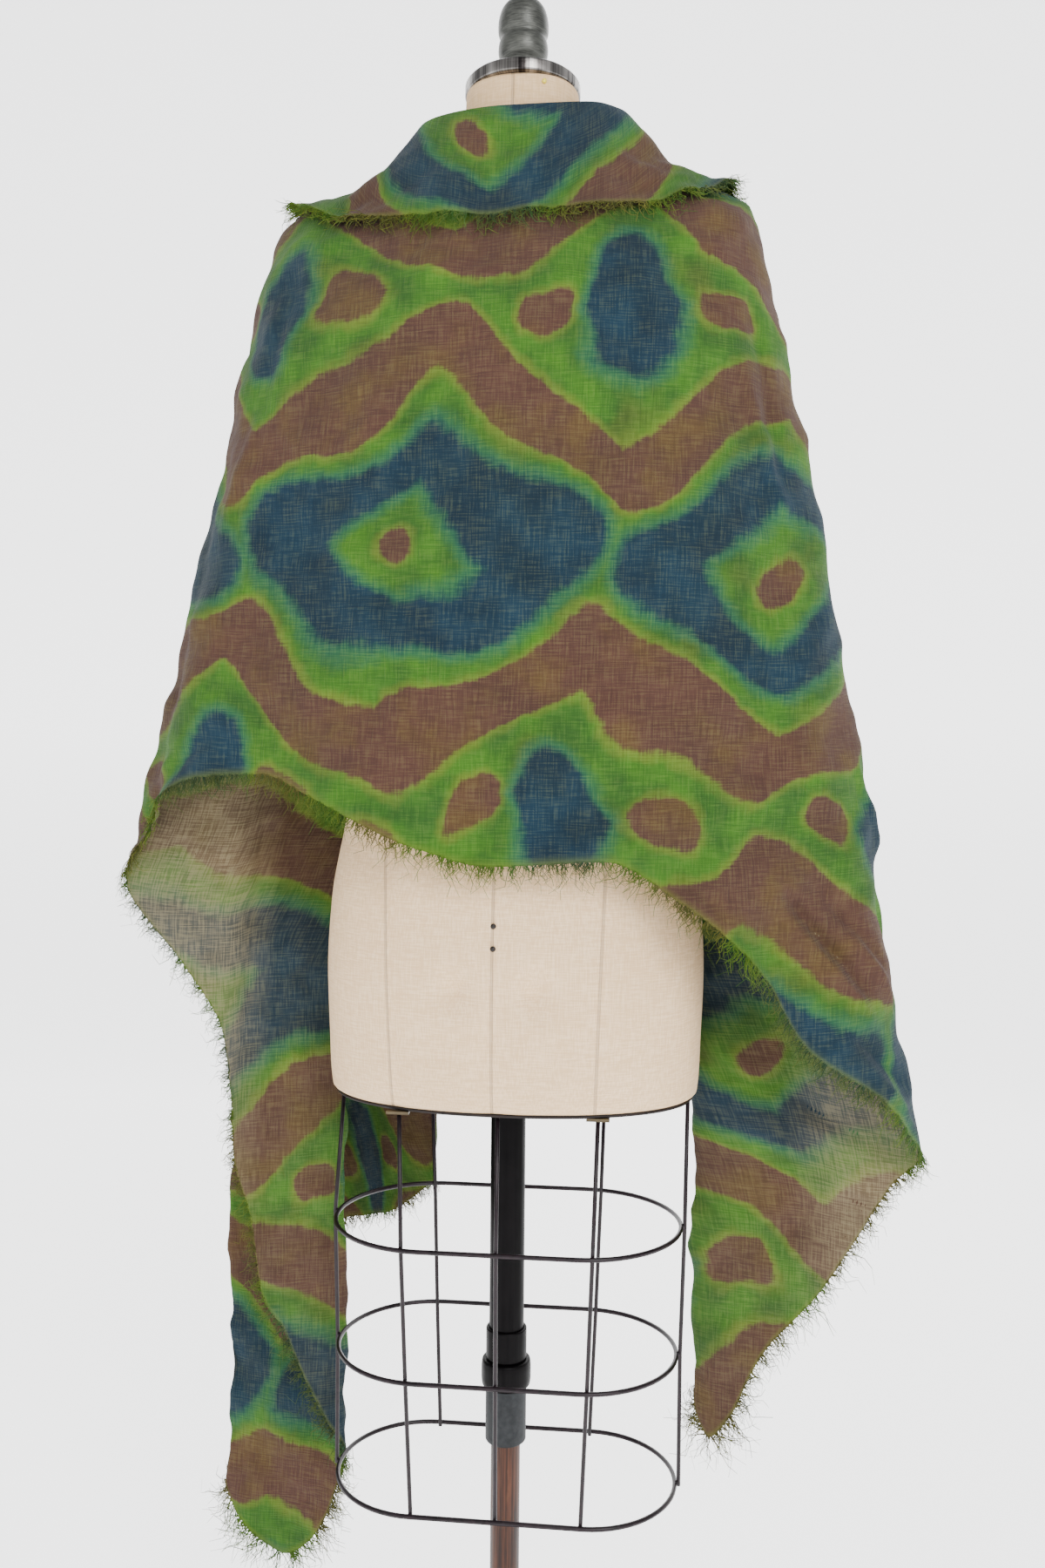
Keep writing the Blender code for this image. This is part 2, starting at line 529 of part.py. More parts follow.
def build_fringes(edges):
    mat = material("fray", 0.95)
    for seed, (name, edge) in enumerate(edges.items()):
        frayed_strip(name.replace("shawl", "fray").replace("collar", "fray_collar"), *edge, mat, seed)


# ---------------------------------------------------------------- the dress form
def build_form():
    linen = material("linen", 0.9)
    heights = [h for h in BODY["height"] if h < NECK_SPLIT] + [NECK_SPLIT - 0.5 * SEAM_GAP]
    ring_stack("form_body", [body_ring(h) for h in heights], linen)
    neck = [NECK_SPLIT + 0.5 * SEAM_GAP] + [h for h in BODY["height"] if h > NECK_SPLIT]
    ring_stack("form_neck", [body_ring(h) for h in neck], linen)
    steel = material("steel", 0.25, 1.0)
    rim = material("rim", 0.6)
    ring_stack("form_rim", [body_ring(BODY_BOTTOM) + (0.0, 0.0, -drop) for drop in
                            (FLAT_GAP + RIM_THICK, FLAT_GAP)], rim)
    band_bottom = NECK_TOP + FLAT_GAP
    turned("neck_band", (NECK_BAND_RADIUS - 0.001, NECK_BAND_RADIUS, NECK_BAND_RADIUS, NECK_BAND_RADIUS - 0.002),
           (0.0, 0.001, NECK_BAND_HEIGHT - 0.002, NECK_BAND_HEIGHT), steel, band_bottom, 40, aside=BODY_ASIDE)
    turned("finial", FINIAL_PROFILE["radius"], FINIAL_PROFILE["height"], material("finial", 0.4, 0.9),
           band_bottom + NECK_BAND_HEIGHT + FLAT_GAP, 20, aside=BODY_ASIDE)


def stadium(half_width, half_depth, height):
    """An oval of two straight runs and two half circles, anticlockwise seen from above."""
    turn = np.linspace(-0.5 * math.pi, 0.5 * math.pi, RING_TURN_STEPS + 1)
    right = np.stack([half_width - half_depth + half_depth * np.cos(turn), half_depth * np.sin(turn)], -1)
    points = np.concatenate([right, -right])
    return np.column_stack([points, np.full(len(points), height)])


def inside_ring(across, half_width, half_depth, inset):
    """How deep an upright stands that touches a ring from inside, so far across."""
    past_straight = max(across - (half_width - half_depth), 0.0)
    flat = half_depth * (1.0 - math.cos(0.5 * math.pi / RING_TURN_STEPS))
    return math.sqrt((half_depth - inset - (flat if past_straight else 0.0)) ** 2 - past_straight ** 2)


def add_tab(name, across, top, mat):
    """A small plate under the rim, behind the head of an upright."""
    wide, deep, thick = TAB_SIZE
    near = -(UPRIGHT_TOP_DEPTH + TAB_PAST_LINE)
    corners = [(across + i * wide / 2, near + j * deep, top - k * thick)
               for k in (1, 0) for i, j in ((-1, 0), (1, 0), (1, 1), (-1, 1))]
    ring_stack(name, [corners[:4], corners[4:]], mat)


def build_cage():
    wire = material("wire", 0.45, 0.6)
    for k, (height, half_width, half_depth) in enumerate(
            zip(RINGS["height"], RINGS["half_width"], RINGS["half_depth"]), 1):
        tube_along(f"cage_ring_{k}", stadium(half_width, half_depth, height), WIRE_RADIUS, wire, closed=True)
    top = BODY_BOTTOM - RIM_THICK - 2 * FLAT_GAP
    for name, side in (("left", -1), ("right", 1)):
        add_tab(f"cage_tab_{name}", side * UPRIGHT_TOP, top, material("steel", 0.25, 1.0))
    inset = WIRE_RADIUS + UPRIGHT_RADIUS + 1.5 * SEAM_GAP
    heights = (top,) + RINGS["height"]
    foot = RINGS["height"][-1] - WIRE_RADIUS
    half_width = RINGS["half_width"][:1] + RINGS["half_width"]
    half_depth = (UPRIGHT_TOP_DEPTH,) + RINGS["half_depth"]
    across = (UPRIGHT_TOP,) + RINGS["upright"]
    for name, side_x, side_y in (("back_left", -1, -1), ("back_middle", 0, -1), ("back_right", 1, -1),
                                 ("front_left", -1, 1), ("front_middle", 0, 1), ("front_right", 1, 1)):
        path = [(side_x * u, side_y * inside_ring(abs(side_x) * u, w, d, inset), h)
                for u, w, d, h in zip(across, half_width, half_depth, heights)]
        path.append((path[-1][0], path[-1][1], foot))
        tube_along(f"upright_{name}", path, UPRIGHT_RADIUS, wire)
    for name, side in (("left", -1), ("right", 1)):
        rim = BODY_ASIDE + side * (BODY["half_width"][0] - SIDE_UPRIGHT_IN)
        path = [(rim, 0.0, top)]
        path += [(side * (w + inset), 0.0, h) for w, h in zip(RINGS["half_width"], RINGS["height"])]
        path.append((path[-1][0], 0.0, foot))
        tube_along(f"upright_{name}", path, UPRIGHT_RADIUS, wire)


def build_stand():
    tube_top = BODY_BOTTOM - RIM_THICK - 2 * FLAT_GAP
    turned("pole_tube", (TUBE_RADIUS, TUBE_RADIUS, TUBE_VENT, TUBE_VENT, TUBE_BORE, TUBE_BORE),
           (TUBE_BOTTOM, tube_top, tube_top, tube_top - TUBE_TOP_WALL, tube_top - TUBE_TOP_WALL, TUBE_BOTTOM),
           material("tube", 0.35, 0.5), closed_profile=True)
    for name, bottom, top, radius in zip(*(CLAMP_PIECES[c] for c in ("name", "bottom", "top", "radius"))):
        bore = TUBE_RADIUS + SEAM_GAP
        turned(name, (bore, radius, radius, bore), (bottom, bottom, top, top),
               material("sleeve" if name == "clamp_sleeve" else "tube", 0.4, 0.5), closed_profile=True)
    turned("pole_rod", (ROD_RADIUS, ROD_RADIUS), (HUB_TOP + FLAT_GAP, ROD_TOP), material("rod", 0.6, 0.4))
    base = material("base", 0.5, 0.6)
    turned("base_plate", (BASE_RADIUS, BASE_RADIUS, BASE_RADIUS - 0.004, 0.040),
           (0.0, BASE_THICK - 0.006, BASE_THICK - 0.003, BASE_THICK), base, sides=48)
    turned("base_hub", (0.034, 0.034, 0.024, 0.0215, 0.0215),
           (BASE_THICK + FLAT_GAP, 0.020, 0.030, 0.040, HUB_TOP), base)


def main():
    for obj in list(bpy.data.objects):
        bpy.data.objects.remove(obj)
    build_fringes(build_cloth())
    build_form()
    build_cage()
    build_stand()


main()
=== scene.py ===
"""Looks of the linen shawl, worn on a limbless dress form with a wire cage and a round-based stand.

Metres, +Z up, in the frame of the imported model. The form's back faces -Y, and its pole is the Z axis.
The cloth is worked out as in the model's source: a rib is a thread line from the neck fold to the lower
edge, and its bearing says which way round the form it lies, 0 at the centre back.
"""
import math

import bpy
import numpy as np
from mathutils import Matrix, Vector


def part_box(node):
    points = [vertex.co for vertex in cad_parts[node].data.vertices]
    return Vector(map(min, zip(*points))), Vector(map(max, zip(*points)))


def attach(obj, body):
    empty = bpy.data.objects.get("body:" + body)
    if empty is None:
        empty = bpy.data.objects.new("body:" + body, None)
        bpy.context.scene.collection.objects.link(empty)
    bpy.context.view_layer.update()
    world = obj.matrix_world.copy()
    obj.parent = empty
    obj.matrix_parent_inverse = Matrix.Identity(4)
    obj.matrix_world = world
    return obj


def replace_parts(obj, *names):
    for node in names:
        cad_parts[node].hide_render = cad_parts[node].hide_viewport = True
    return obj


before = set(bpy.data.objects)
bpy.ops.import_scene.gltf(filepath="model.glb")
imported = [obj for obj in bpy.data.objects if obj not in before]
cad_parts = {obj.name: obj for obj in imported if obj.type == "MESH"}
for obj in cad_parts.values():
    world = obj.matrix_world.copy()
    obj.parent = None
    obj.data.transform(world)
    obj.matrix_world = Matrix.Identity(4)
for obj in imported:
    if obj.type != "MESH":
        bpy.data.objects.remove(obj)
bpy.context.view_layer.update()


def show(thing):
    bpy.context.scene.collection.objects.link(thing)
    return thing


def standing(axes, place):
    """The matrix of an object at a place, whose own x, y and z run along the three axes."""
    return Matrix([(*row, at) for row, at in zip(np.transpose(axes), place)] + [(0, 0, 0, 1)])


# ---------------------------------------------------------------- camera
IMAGE_HEIGHT, FOCAL_PIXELS, SENSOR = 1800, 1450, 36.0
EYE = (0.1330, -1.1721, 1.0209)
YAW, PITCH, ROLL = 0.1042, 0.0114, 0.0091


def make_camera():
    """A near level look at the form's back: yaw turns it left, pitch tips it down, roll leans it."""
    level = math.cos(PITCH)
    forward = np.array([-math.sin(YAW) * level, math.cos(YAW) * level, -math.sin(PITCH)])
    right = np.array([math.cos(YAW), math.sin(YAW), 0.0])
    up = np.cross(right, forward)
    cos, sin = math.cos(ROLL), math.sin(ROLL)
    data = bpy.data.cameras.new("camera")
    data.sensor_width = SENSOR
    data.lens = SENSOR * FOCAL_PIXELS / IMAGE_HEIGHT
    camera = show(bpy.data.objects.new("camera", data))
    camera.matrix_world = standing((cos * right + sin * up, cos * up - sin * right, -forward), EYE)
    bpy.context.scene.camera = camera


make_camera()


# ---------------------------------------------------------------- sizes shared with the model's source
def millimetres(**columns):
    """A table whose lengths are written in millimetres, read as metres. Bearings are in degrees."""
    return {name: values if name == "bearing" else tuple(value / 1000 for value in values)
            for name, values in columns.items()}


CLOTH_OFF_BODY = 0.0034
RIB_KNOTS = (0.0, 0.085, 0.26, 0.63, 1.0)
YOKE_ROUNDNESS = 0.6
FINE_STATIONS = 161
CLEAR_PASSES = 6
TINY_STEP, TINY_LENGTH = 1e-4, 1e-12

BODY_BOTTOM = 0.7245
BODY_ASIDE = 0.005
BODY_SQUARENESS = 2.25
RIM_THICK = 0.0025
NECK_SPLIT = 1.6020
NECK_TOP = 1.6410
FLAT_GAP = 0.0003

BODY = millimetres(
    height=(724.5, 729, 780, 840, 900, 970, 1050, 1150, 1250, 1330, 1400, 1460, 1500, 1525, 1545,
            1560, 1575, 1590, 1602, 1620, 1641),
    half_width=(166, 169.5, 172.5, 174.5, 171.5, 160, 146, 151, 163, 174, 184, 190, 184, 170, 146,
                121, 92, 69, 57.5, 53, 52),
    half_depth=(99, 103, 113, 116.5, 112, 101, 92, 101, 117, 112, 100, 92, 84, 78, 72, 66, 60, 55,
                51, 49, 48),
    forward=(0, 0, 0, 0, 0, 2, 4, 6, 10, 8, 3, 0, 0, 0, 0, 0, 0, 0, 0, 0, 0),
)

FOLD_LINE = millimetres(
    bearing=(-168, -163, -158, -152, -145, -136, -122, -108, -90, -60, -30, 0, 30, 60, 90, 108, 122,
             136, 145, 152, 158, 163, 168),
    x=(-90, -86, -79, -70, -62, -66, -80, -90, -94, -80, -45, 0, 45, 82, 103, 96, 80, 66, 62, 66,
       70, 73, 76),
    y=(139, 141, 142, 142, 137, 118, 80, 40, 0, -36, -59, -70, -59, -36, 0, 40, 80, 118, 137, 142,
       142, 141, 139),
    z=(760, 880, 1010, 1150, 1290, 1430, 1525, 1576, 1599, 1602, 1600, 1598, 1604, 1613, 1616, 1584,
       1525, 1430, 1310, 1210, 1120, 1040, 960),
    collar=(10, 14, 26, 52, 82, 110, 124, 128, 132, 122, 114, 112, 116, 122, 122, 124, 120, 110, 82,
            52, 26, 14, 10),
    dip=(0, 0, 0, 0, 0, 0, 6, 13, 18, 11, 4, 0, 3, 9, 16, 11, 4, 0, 0, 0, 0, 0, 0),
)

YOKE_LINE = millimetres(
    bearing=(-168, -158, -150, -143, -134, -124, -114, -102, -90, -80, -60, -30, 0, 30, 60, 80, 90,
             102, 114, 124, 134, 143, 150, 158, 168),
    x=(-91, -104, -112, -120, -134, -152, -176, -198, -212, -200, -156, -78, 0, 78, 156, 200, 212,
       198, 176, 152, 134, 120, 110, 98, 78),
    y=(137, 138, 137, 130, 110, 88, 64, 32, -8, -42, -86, -112, -119, -112, -86, -42, -8, 32, 64,
       88, 110, 130, 137, 138, 137),
    z=(715, 880, 1070, 1230, 1380, 1440, 1475, 1510, 1528, 1512, 1470, 1432, 1420, 1432, 1470, 1513,
       1529, 1511, 1475, 1440, 1380, 1270, 1150, 1040, 915),
)

LOWER_EDGE = millimetres(
    bearing=(-168, -160, -152, -145, -139, -134, -131, -128, -125, -121, -117, -114, -111, -108,
             -105, -102, -99, -96, -93, -90, -85, -78, -68, -56, -44, -32, -18, 0, 16, 28, 42, 52,
             60, 68, 76, 84, 90, 94, 99, 104, 110, 116, 120, 124, 129, 134, 138, 144, 151, 159,
             168),
    x=(-92, -147, -184, -227, -270, -290, -268, -227, -190, -163, -177, -196, -220, -240, -252,
       -269, -272.5, -279, -318, -362, -325, -304, -265, -214, -168, -123, -63, -4, 54, 97, 161,
       205, 238, 269, 312, 351, 370, 352, 315, 284, 237, 208, 189, 176, 200, 244, 268, 238, 190,
       132, 80),
    y=(135, 132, 122, 102, 80, 62, 54, 48, 42, 32, 24, 21, 18, 16, 14, 12, 8, 4, -4, -22, -52, -72,
       -92, -108, -120, -130, -134, -136, -134, -134, -126, -116, -106, -94, -74, -46, -14, 6, 14,
       16, 18, 20, 24, 36, 48, 60, 74, 94, 114, 130, 137),
    z=(588, 552, 549, 480, 379, 300, 263, 237, 268, 352, 384, 421, 475, 506, 582, 645, 719, 770,
       836, 905, 963, 991, 1011, 1015, 999, 980, 954, 940, 943, 945, 906, 870, 841, 785, 748, 711,
       674, 644, 579, 532, 475, 415, 393, 428, 480, 545, 600, 655, 705, 755, 800),
    bow=(0, 4, 6, 6, 4, 0, 0, 0, 0, 0, 0, 0, 0, 0, 1, 2, 3, 4, 5, 6, 6, 6, 6, 4, 0, 0, 0, 0, 0, 0,
         2, 6, 8, 10, 13, 13, 11, 9, 7, 4, 2, 0, 0, 0, 0, 2, 4, 6, 6, 4, 0),
    lean=(0, -12, -24, -40, -56, -64, -58, -44, -26, -4, 0, 0, 0, 0, 0, 0, 0, 0, 0, 0, 0, 0, 0, 0,
          0, 0, 0, 0, 0, 0, 0, 0, 0, 0, 0, 0, 0, 0, 0, 0, 0, 0, 2, 6, 20, 34, 44, 34, 20, 10, 0),
)

SOFT_FOLDS = dict(
    bearing=(-74, -50, -24, 22, 46, 62, 78),
    half_width=(8, 9, 10, 11, 8, 7, 7),
    depth=(0.010, -0.006, 0.005, -0.005, 0.007, -0.009, 0.010),
    start=(0.35, 0.45, 0.60, 0.55, 0.40, 0.35, 0.40),
)

RINGS = millimetres(
    height=(600, 481.4, 361.3),
    half_width=(161.5, 158.3, 158.1),
    half_depth=(92.5, 86.8, 81.8),
    upright=(84, 80, 75.2),
)
UPRIGHT_TOP = 0.0875
UPRIGHT_TOP_DEPTH = 0.0865
SIDE_UPRIGHT_IN = 0.0045
WIRE_RADIUS = 0.0021
UPRIGHT_RADIUS = 0.0019

# ---------------------------------------------------------------- sizes of the fine cloth
CLOTH_HALF = 0.0003              # half the thickness of the thin shells
ROWS_DOWN = 176
EDGE_STATIONS = 1500
LEVEL_STATIONS = 300
COLLAR_ROWS = 40
ROLL_ROWS = 8
COLLAR_RISE = (0.0034, 0.0052)   # collar to cloth at the neck fold, and from a part of the way down
COLLAR_SWELL = 0.4
COLLAR_LIFT = 0.0035             # how far the collar's frayed edge curls up
COLLAR_ENDS = (-162.0, 162.0)
TURN_WEIGHT = 0.02               # metres of rib spacing saved for each radian that the edge turns
CLOTH_PARTS = dict(
    name=("cloth_left", "cloth_back", "cloth_right"),
    first=(-168.0, -90.0, 90.0),
    last=(-90.0, 90.0, 168.0),
    ribs=(190, 250, 170),
)


# ---------------------------------------------------------------- shader writing
def operator(operation, swapped=False):
    """A method that adds one Math node. Swapped, the other value goes in first."""
    def add_node(self, other):
        return self.math(operation, *((other, self) if swapped else (self, other)))
    return add_node


class Value:
    """A number socket of a finish. Arithmetic on it adds Math nodes."""

    def __init__(self, finish, socket):
        self.finish, self.socket = finish, socket

    def math(self, operation, *values):
        return self.finish.node("ShaderNodeMath", dict(operation=operation), values)

    __add__, __radd__ = operator("ADD"), operator("ADD", swapped=True)
    __sub__, __rsub__ = operator("SUBTRACT"), operator("SUBTRACT", swapped=True)
    __mul__, __rmul__ = operator("MULTIPLY"), operator("MULTIPLY", swapped=True)
    most, angle_over = operator("MAXIMUM"), operator("ARCTAN2")

    def __abs__(self):
        return self.math("ABSOLUTE", self)

    def rise(self, low, high):
        """0 below low and 1 above high, smooth between."""
        return self.finish.node("ShaderNodeMapRange", dict(interpolation_type="SMOOTHSTEP"),
                                {"Value": self, "From Min": low, "From Max": high})

    def fall(self, low, high):
        """1 below low and 0 above high, smooth between."""
        return 1 - self.rise(low, high)

    def share(self, gain, low, high):
        """Noise about zero as a share from 0 to 1: stretched about a half, then cut off smoothly."""
        return (self * gain + 0.5).rise(low, high)


def seen(red, green, blue):
    """A colour given as it shows on a screen, 0 to 255, as the shader's linear colour."""
    shown = np.array([red, green, blue]) / 255.0
    linear = np.where(shown <= 0.04045, shown / 12.92, ((shown + 0.055) / 1.055) ** 2.4)
    return (*map(float, linear), 1.0)


class Finish:
    """One material: constants sit on the Principled sockets, and the rest is painted on with nodes."""

    def __init__(self, name, **constants):
        self.material = bpy.data.materials.new(name)
        self.material.use_nodes = True
        self.tree = self.material.node_tree
        self.shader = self.tree.nodes["Principled BSDF"]
        for socket, value in constants.items():
            self.shader.inputs[socket.replace("_", " ")].default_value = value

    def node(self, kind, settings=None, sockets=(), output=0):
        made = self.tree.nodes.new(kind)
        for key, value in (settings or {}).items():
            setattr(made, key, value)
        for key, value in sockets.items() if isinstance(sockets, dict) else enumerate(sockets):
            if isinstance(value, Value):
                self.tree.links.new(value.socket, made.inputs[key])
            else:
                made.inputs[key].default_value = value
        return Value(self, made.outputs[output])

    def place(self):
        """The point on the object, in metres."""
        return self.node("ShaderNodeTexCoord", output=3)

    def cloth(self):
        """The point on the flat cloth, in metres."""
        return self.node("ShaderNodeUVMap", dict(uv_map="weave"))

    def attribute(self, name):
        return self.node("ShaderNodeAttribute", dict(attribute_name=name), output=2)

    def axis(self, vector, number):
        return self.node("ShaderNodeSeparateXYZ", sockets=(vector,), output=number)

    def noise(self, at, scale, detail=2.0, roughness=0.5):
        """Noise from about -0.5 to 0.5. Scale is cells to the metre, or one number for each axis."""
        if isinstance(scale, tuple):
            at = self.node("ShaderNodeVectorMath", dict(operation="MULTIPLY"), (at, scale))
            scale = 1.0
        return self.node("ShaderNodeTexNoise", None,
                         {"Vector": at, "Scale": scale, "Detail": detail, "Roughness": roughness}) - 0.5

    def mix(self, share, first, second):
        return self.node("ShaderNodeMix", dict(data_type="RGBA"), {0: share, 6: first, 7: second}, 2)

    def paint(self, socket, value):
        self.tree.links.new(value.socket, self.shader.inputs[socket])

    def emboss(self, height, distance):
        """Bump from a height of about 0 to 1, in units of distance."""
        self.paint("Normal", self.node("ShaderNodeBump", None,
                                       {"Strength": 1.0, "Distance": distance, "Height": height}))


# ---------------------------------------------------------------- the cloth's finishes
BROWN, BROWN_WORN = seen(74, 48, 40), seen(84, 64, 34)
GREEN, GREEN_DEEP = seen(58, 104, 22), seen(40, 78, 24)
LIME, OLIVE = seen(102, 114, 36), seen(76, 84, 26)
TEAL, BLUE, BLUE_DEEP = seen(34, 86, 62), seen(14, 43, 60), seen(9, 31, 46)
THREAD_PALE, THREAD_DARK = seen(150, 156, 92), seen(16, 24, 18)
DYE_DEEP = seen(20, 30, 24)
WRONG_SIDE = seen(128, 118, 92)
STRAND_GREEN, STRAND_LIME = seen(50, 80, 24), seen(112, 120, 40)

# Where each colour starts and ends, in metres from a band's edge, and how far blots and threads move it.
BROWN_EDGE, LIME_HALO = (-0.0022, 0.0022), (-0.0010, 0.0100)
BLUE_EDGE, TEAL_HALO = (-0.005, 0.006), (0.001, 0.017)
BROWN_BY_BLOT, BLUE_BY_BLOT = 0.010, 0.014
BROWN_BY_THREAD, BLUE_BY_THREAD = 0.0035, 0.0050
HALO_RAGGED = 0.016

# How fine each unevenness is, in cells to a metre of cloth.
BLOTS, CLOUDS, OLIVE_CLOUDS, WORN_CLOUDS, DEPTH_CLOUDS, HALO_CLOUDS = 70.0, 22.0, 13.0, 19.0, 7.0, 44.0
THREADS_DOWN, THREADS_ACROSS = (760.0, 42.0, 1.0), (46.0, 820.0, 1.0)
CRINKLES = (120.0, 90.0, 1.0)
WEAVE_RELIEF = 0.0011


def dye(finish, thread, blot):
    """The colours of the folded and clamped dye, from the distances to the brown and the blue bands.

    Brown has a thin lime halo and a crisp edge that runs along the threads. Blue fades through teal into
    the green ground. Both distances are in metres and negative inside a band.
    """
    brown = finish.attribute("brown") + BROWN_BY_BLOT * blot + BROWN_BY_THREAD * thread
    blue = finish.attribute("blue") - BLUE_BY_BLOT * blot + BLUE_BY_THREAD * thread
    cloth = finish.cloth()
    cloud = finish.noise(cloth, CLOUDS, 3.0)
    ground = finish.mix(cloud.share(2.2, 0.1, 0.9), GREEN_DEEP, GREEN)
    ground = finish.mix(finish.noise(cloth, OLIVE_CLOUDS).rise(0.05, 0.22) * 0.45, ground, OLIVE)
    ground = finish.mix(blue.fall(*TEAL_HALO) * 0.80, ground, TEAL)
    deep = finish.mix(cloud.share(2.6, 0.0, 1.0), BLUE_DEEP, BLUE)
    ground = finish.mix(blue.fall(*BLUE_EDGE), ground, deep)
    halo = brown + finish.noise(cloth, HALO_CLOUDS, 3.0) * HALO_RAGGED
    ground = finish.mix(halo.fall(*LIME_HALO) * (0.62 + cloud * 1.1), ground, LIME)
    worn = finish.noise(cloth, WORN_CLOUDS, 4.0).share(2.6, 0.35, 1.0)
    dyed = finish.mix(brown.fall(*BROWN_EDGE), ground, finish.mix(worn * 0.75, BROWN, BROWN_WORN))
    depth = finish.noise(cloth, DEPTH_CLOUDS, 4.0, 0.6).share(2.2, 0.1, 0.9)
    return finish.mix(depth * 0.20, dyed, DYE_DEEP)


def dyed_linen(name, pale):
    """Open linen gauze: uneven threads both ways, matt. Pale is how far its wrong side is faded."""
    finish = Finish(name, Roughness=0.93, Sheen_Weight=0.04, Sheen_Roughness=0.55, Specular_IOR_Level=0.2)
    cloth = finish.cloth()
    thread = finish.noise(cloth, THREADS_DOWN) + finish.noise(cloth, THREADS_ACROSS)
    colour = dye(finish, thread, finish.noise(cloth, BLOTS, 3.0))
    colour = finish.mix(thread.share(1.6, 0.35, 1.0) * 0.08, colour, THREAD_PALE)
    colour = finish.mix(thread.share(-1.6, 0.30, 1.0) * 0.26, colour, THREAD_DARK)
    colour = finish.mix(finish.attribute("worn") * 0.40, colour, LIME)
    if pale:
        gauze = thread.share(2.2, 0.1, 0.9) * 0.6 + 0.4
        colour = finish.mix(finish.attribute("wrong") * gauze * pale, colour, WRONG_SIDE)
    finish.paint("Base Color", colour)
    finish.emboss(thread * 0.8 + finish.noise(cloth, CRINKLES, 3.0) * 0.9 + 0.5, WEAVE_RELIEF)
    return finish.material


def fringe_thread():
    """Loose linen threads: the cloth's own dye at their roots, yellower and lighter at the tips."""
    finish = Finish("fringe_thread", Roughness=0.9, Specular_IOR_Level=0.2)
    cloth = finish.cloth()
    colour = dye(finish, finish.noise(cloth, 300.0), finish.noise(cloth, BLOTS, 3.0))
    light = finish.mix(finish.attribute("strand"), STRAND_GREEN, STRAND_LIME)
    finish.paint("Base Color", finish.mix(0.34 + 0.34 * finish.attribute("tip"), colour, light))
    return finish.material


def add_mesh(name, points, faces, finish):
    """A mesh object from an array of points and arrays of faces with equal numbers of corners."""
    mesh = bpy.data.meshes.new(name)
    corners = [face for block in faces for face in block.tolist()]
    mesh.from_pydata(np.reshape(points, (-1, 3)).tolist(), [], corners)
    mesh.update()
    mesh.materials.append(finish)
    mesh.shade_smooth()
    return show(bpy.data.objects.new(name, mesh))


def add_piece(name, points, faces, finish, body="form"):
    piece = add_mesh(name, points, faces, finish)
    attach(piece, body)
    return piece


def unit(vectors):
    return vectors / np.maximum(np.linalg.norm(vectors, axis=-1, keepdims=True), TINY_LENGTH)


def run_along(points, axis=0):
    """The length from the first point to each, along one axis of an array of points."""
    steps = np.linalg.norm(np.diff(points, axis=axis), axis=-1)
    return np.concatenate([np.zeros_like(steps.take([0], axis)), np.cumsum(steps, axis)], axis)


def full_circle(sides):
    return np.arange(sides) * 2.0 * math.pi / sides


def hermite(t, span, start, end, start_slope, end_slope):
    """The cubic that leaves start and reaches end with the given slopes, at shares t of the span."""
    return ((1 + 2 * t) * (1 - t) ** 2 * start + t * (1 - t) ** 2 * span * start_slope
            + t * t * (3 - 2 * t) * end + t * t * (t - 1) * span * end_slope)


def grid_faces(rows, columns, around=False):
    """Quads of a grid whose columns run fastest. Around joins the last column to the first."""
    i = np.arange(rows - 1)[:, None] * columns
    j = np.arange(columns if around else columns - 1)[None]
    n = (j + 1) % columns
    return np.stack([i + j, i + n, i + columns + n, i + columns + j], -1).reshape(-1, 4)


def skin(rows, sides, tube=False):
    """Faces over a stack of closed rings, with a fan at each end to the two points after the rings.

    A tube has none: its last ring is joined to its first.
    """
    quads = grid_faces(rows, sides, around=True)
    j = np.arange(sides)
    n = (j + 1) % sides
    last = (rows - 1) * sides
    if tube:
        return [quads, np.stack([last + j, last + n, n, j], -1)]
    low = np.full(sides, rows * sides)
    fans = np.stack([low, n, j], -1), np.stack([low + 1, last + j, last + n], -1)
    return [quads, np.concatenate(fans)]


def skinned(name, rings, finish, tube=False, body="form"):
    """A piece over a stack of rings, with a fan to the middle of each end, or closed as a tube."""
    points = rings.reshape(-1, 3)
    if not tube:
        points = np.concatenate([points, rings[:1].mean(1), rings[-1:].mean(1)])
    return add_piece(name, points, skin(*rings.shape[:2], tube), finish, body)


def turned(name, profile, finish, sides=96, tube=False, aside=0.0, body="form"):
    """A lathe shape: each radius and height of the profile makes a ring about an upright line."""
    radius, height = (np.asarray(column, float)[:, None] for column in profile)
    angle = full_circle(sides)
    rings = np.stack([aside + radius * np.cos(angle), radius * np.sin(angle),
                      np.repeat(height, sides, 1)], -1)
    return skinned(name, rings, finish, tube, body)


def smooth_profile(radius, height, steps):
    """More rows for a profile: a cubic through its points, by their run along the outline."""
    points = np.stack([radius, height], -1)
    run = run_along(points)
    slope = np.gradient(points, run, axis=0)
    at = np.linspace(0.0, run[-1], steps)
    i = np.clip(np.searchsorted(run, at, side="right") - 1, 0, len(run) - 2)
    span = run[i + 1] - run[i]
    t = ((at - run[i]) / span)[:, None]
    return hermite(t, span[:, None], points[i], points[i + 1], slope[i], slope[i + 1]).T


def rounded_profile(corners, radius, steps=4):
    """A lathe profile with rounded corners: each is a short curve between points beside it."""
    corners = np.asarray(corners, float)
    t = np.linspace(0.0, 1.0, steps)[:, None]
    rows = [corners[:1]]
    for before, at, after in zip(corners, corners[1:], corners[2:]):
        lengths = np.linalg.norm(before - at), np.linalg.norm(after - at)
        reach = min(radius, 0.45 * lengths[0], 0.45 * lengths[1])
        first, last = at + (before - at) / lengths[0] * reach, at + (after - at) / lengths[1] * reach
        rows.append((1 - t) ** 2 * first + 2 * t * (1 - t) * at + t * t * last)
    return np.concatenate(rows + [corners[-1:]]).T


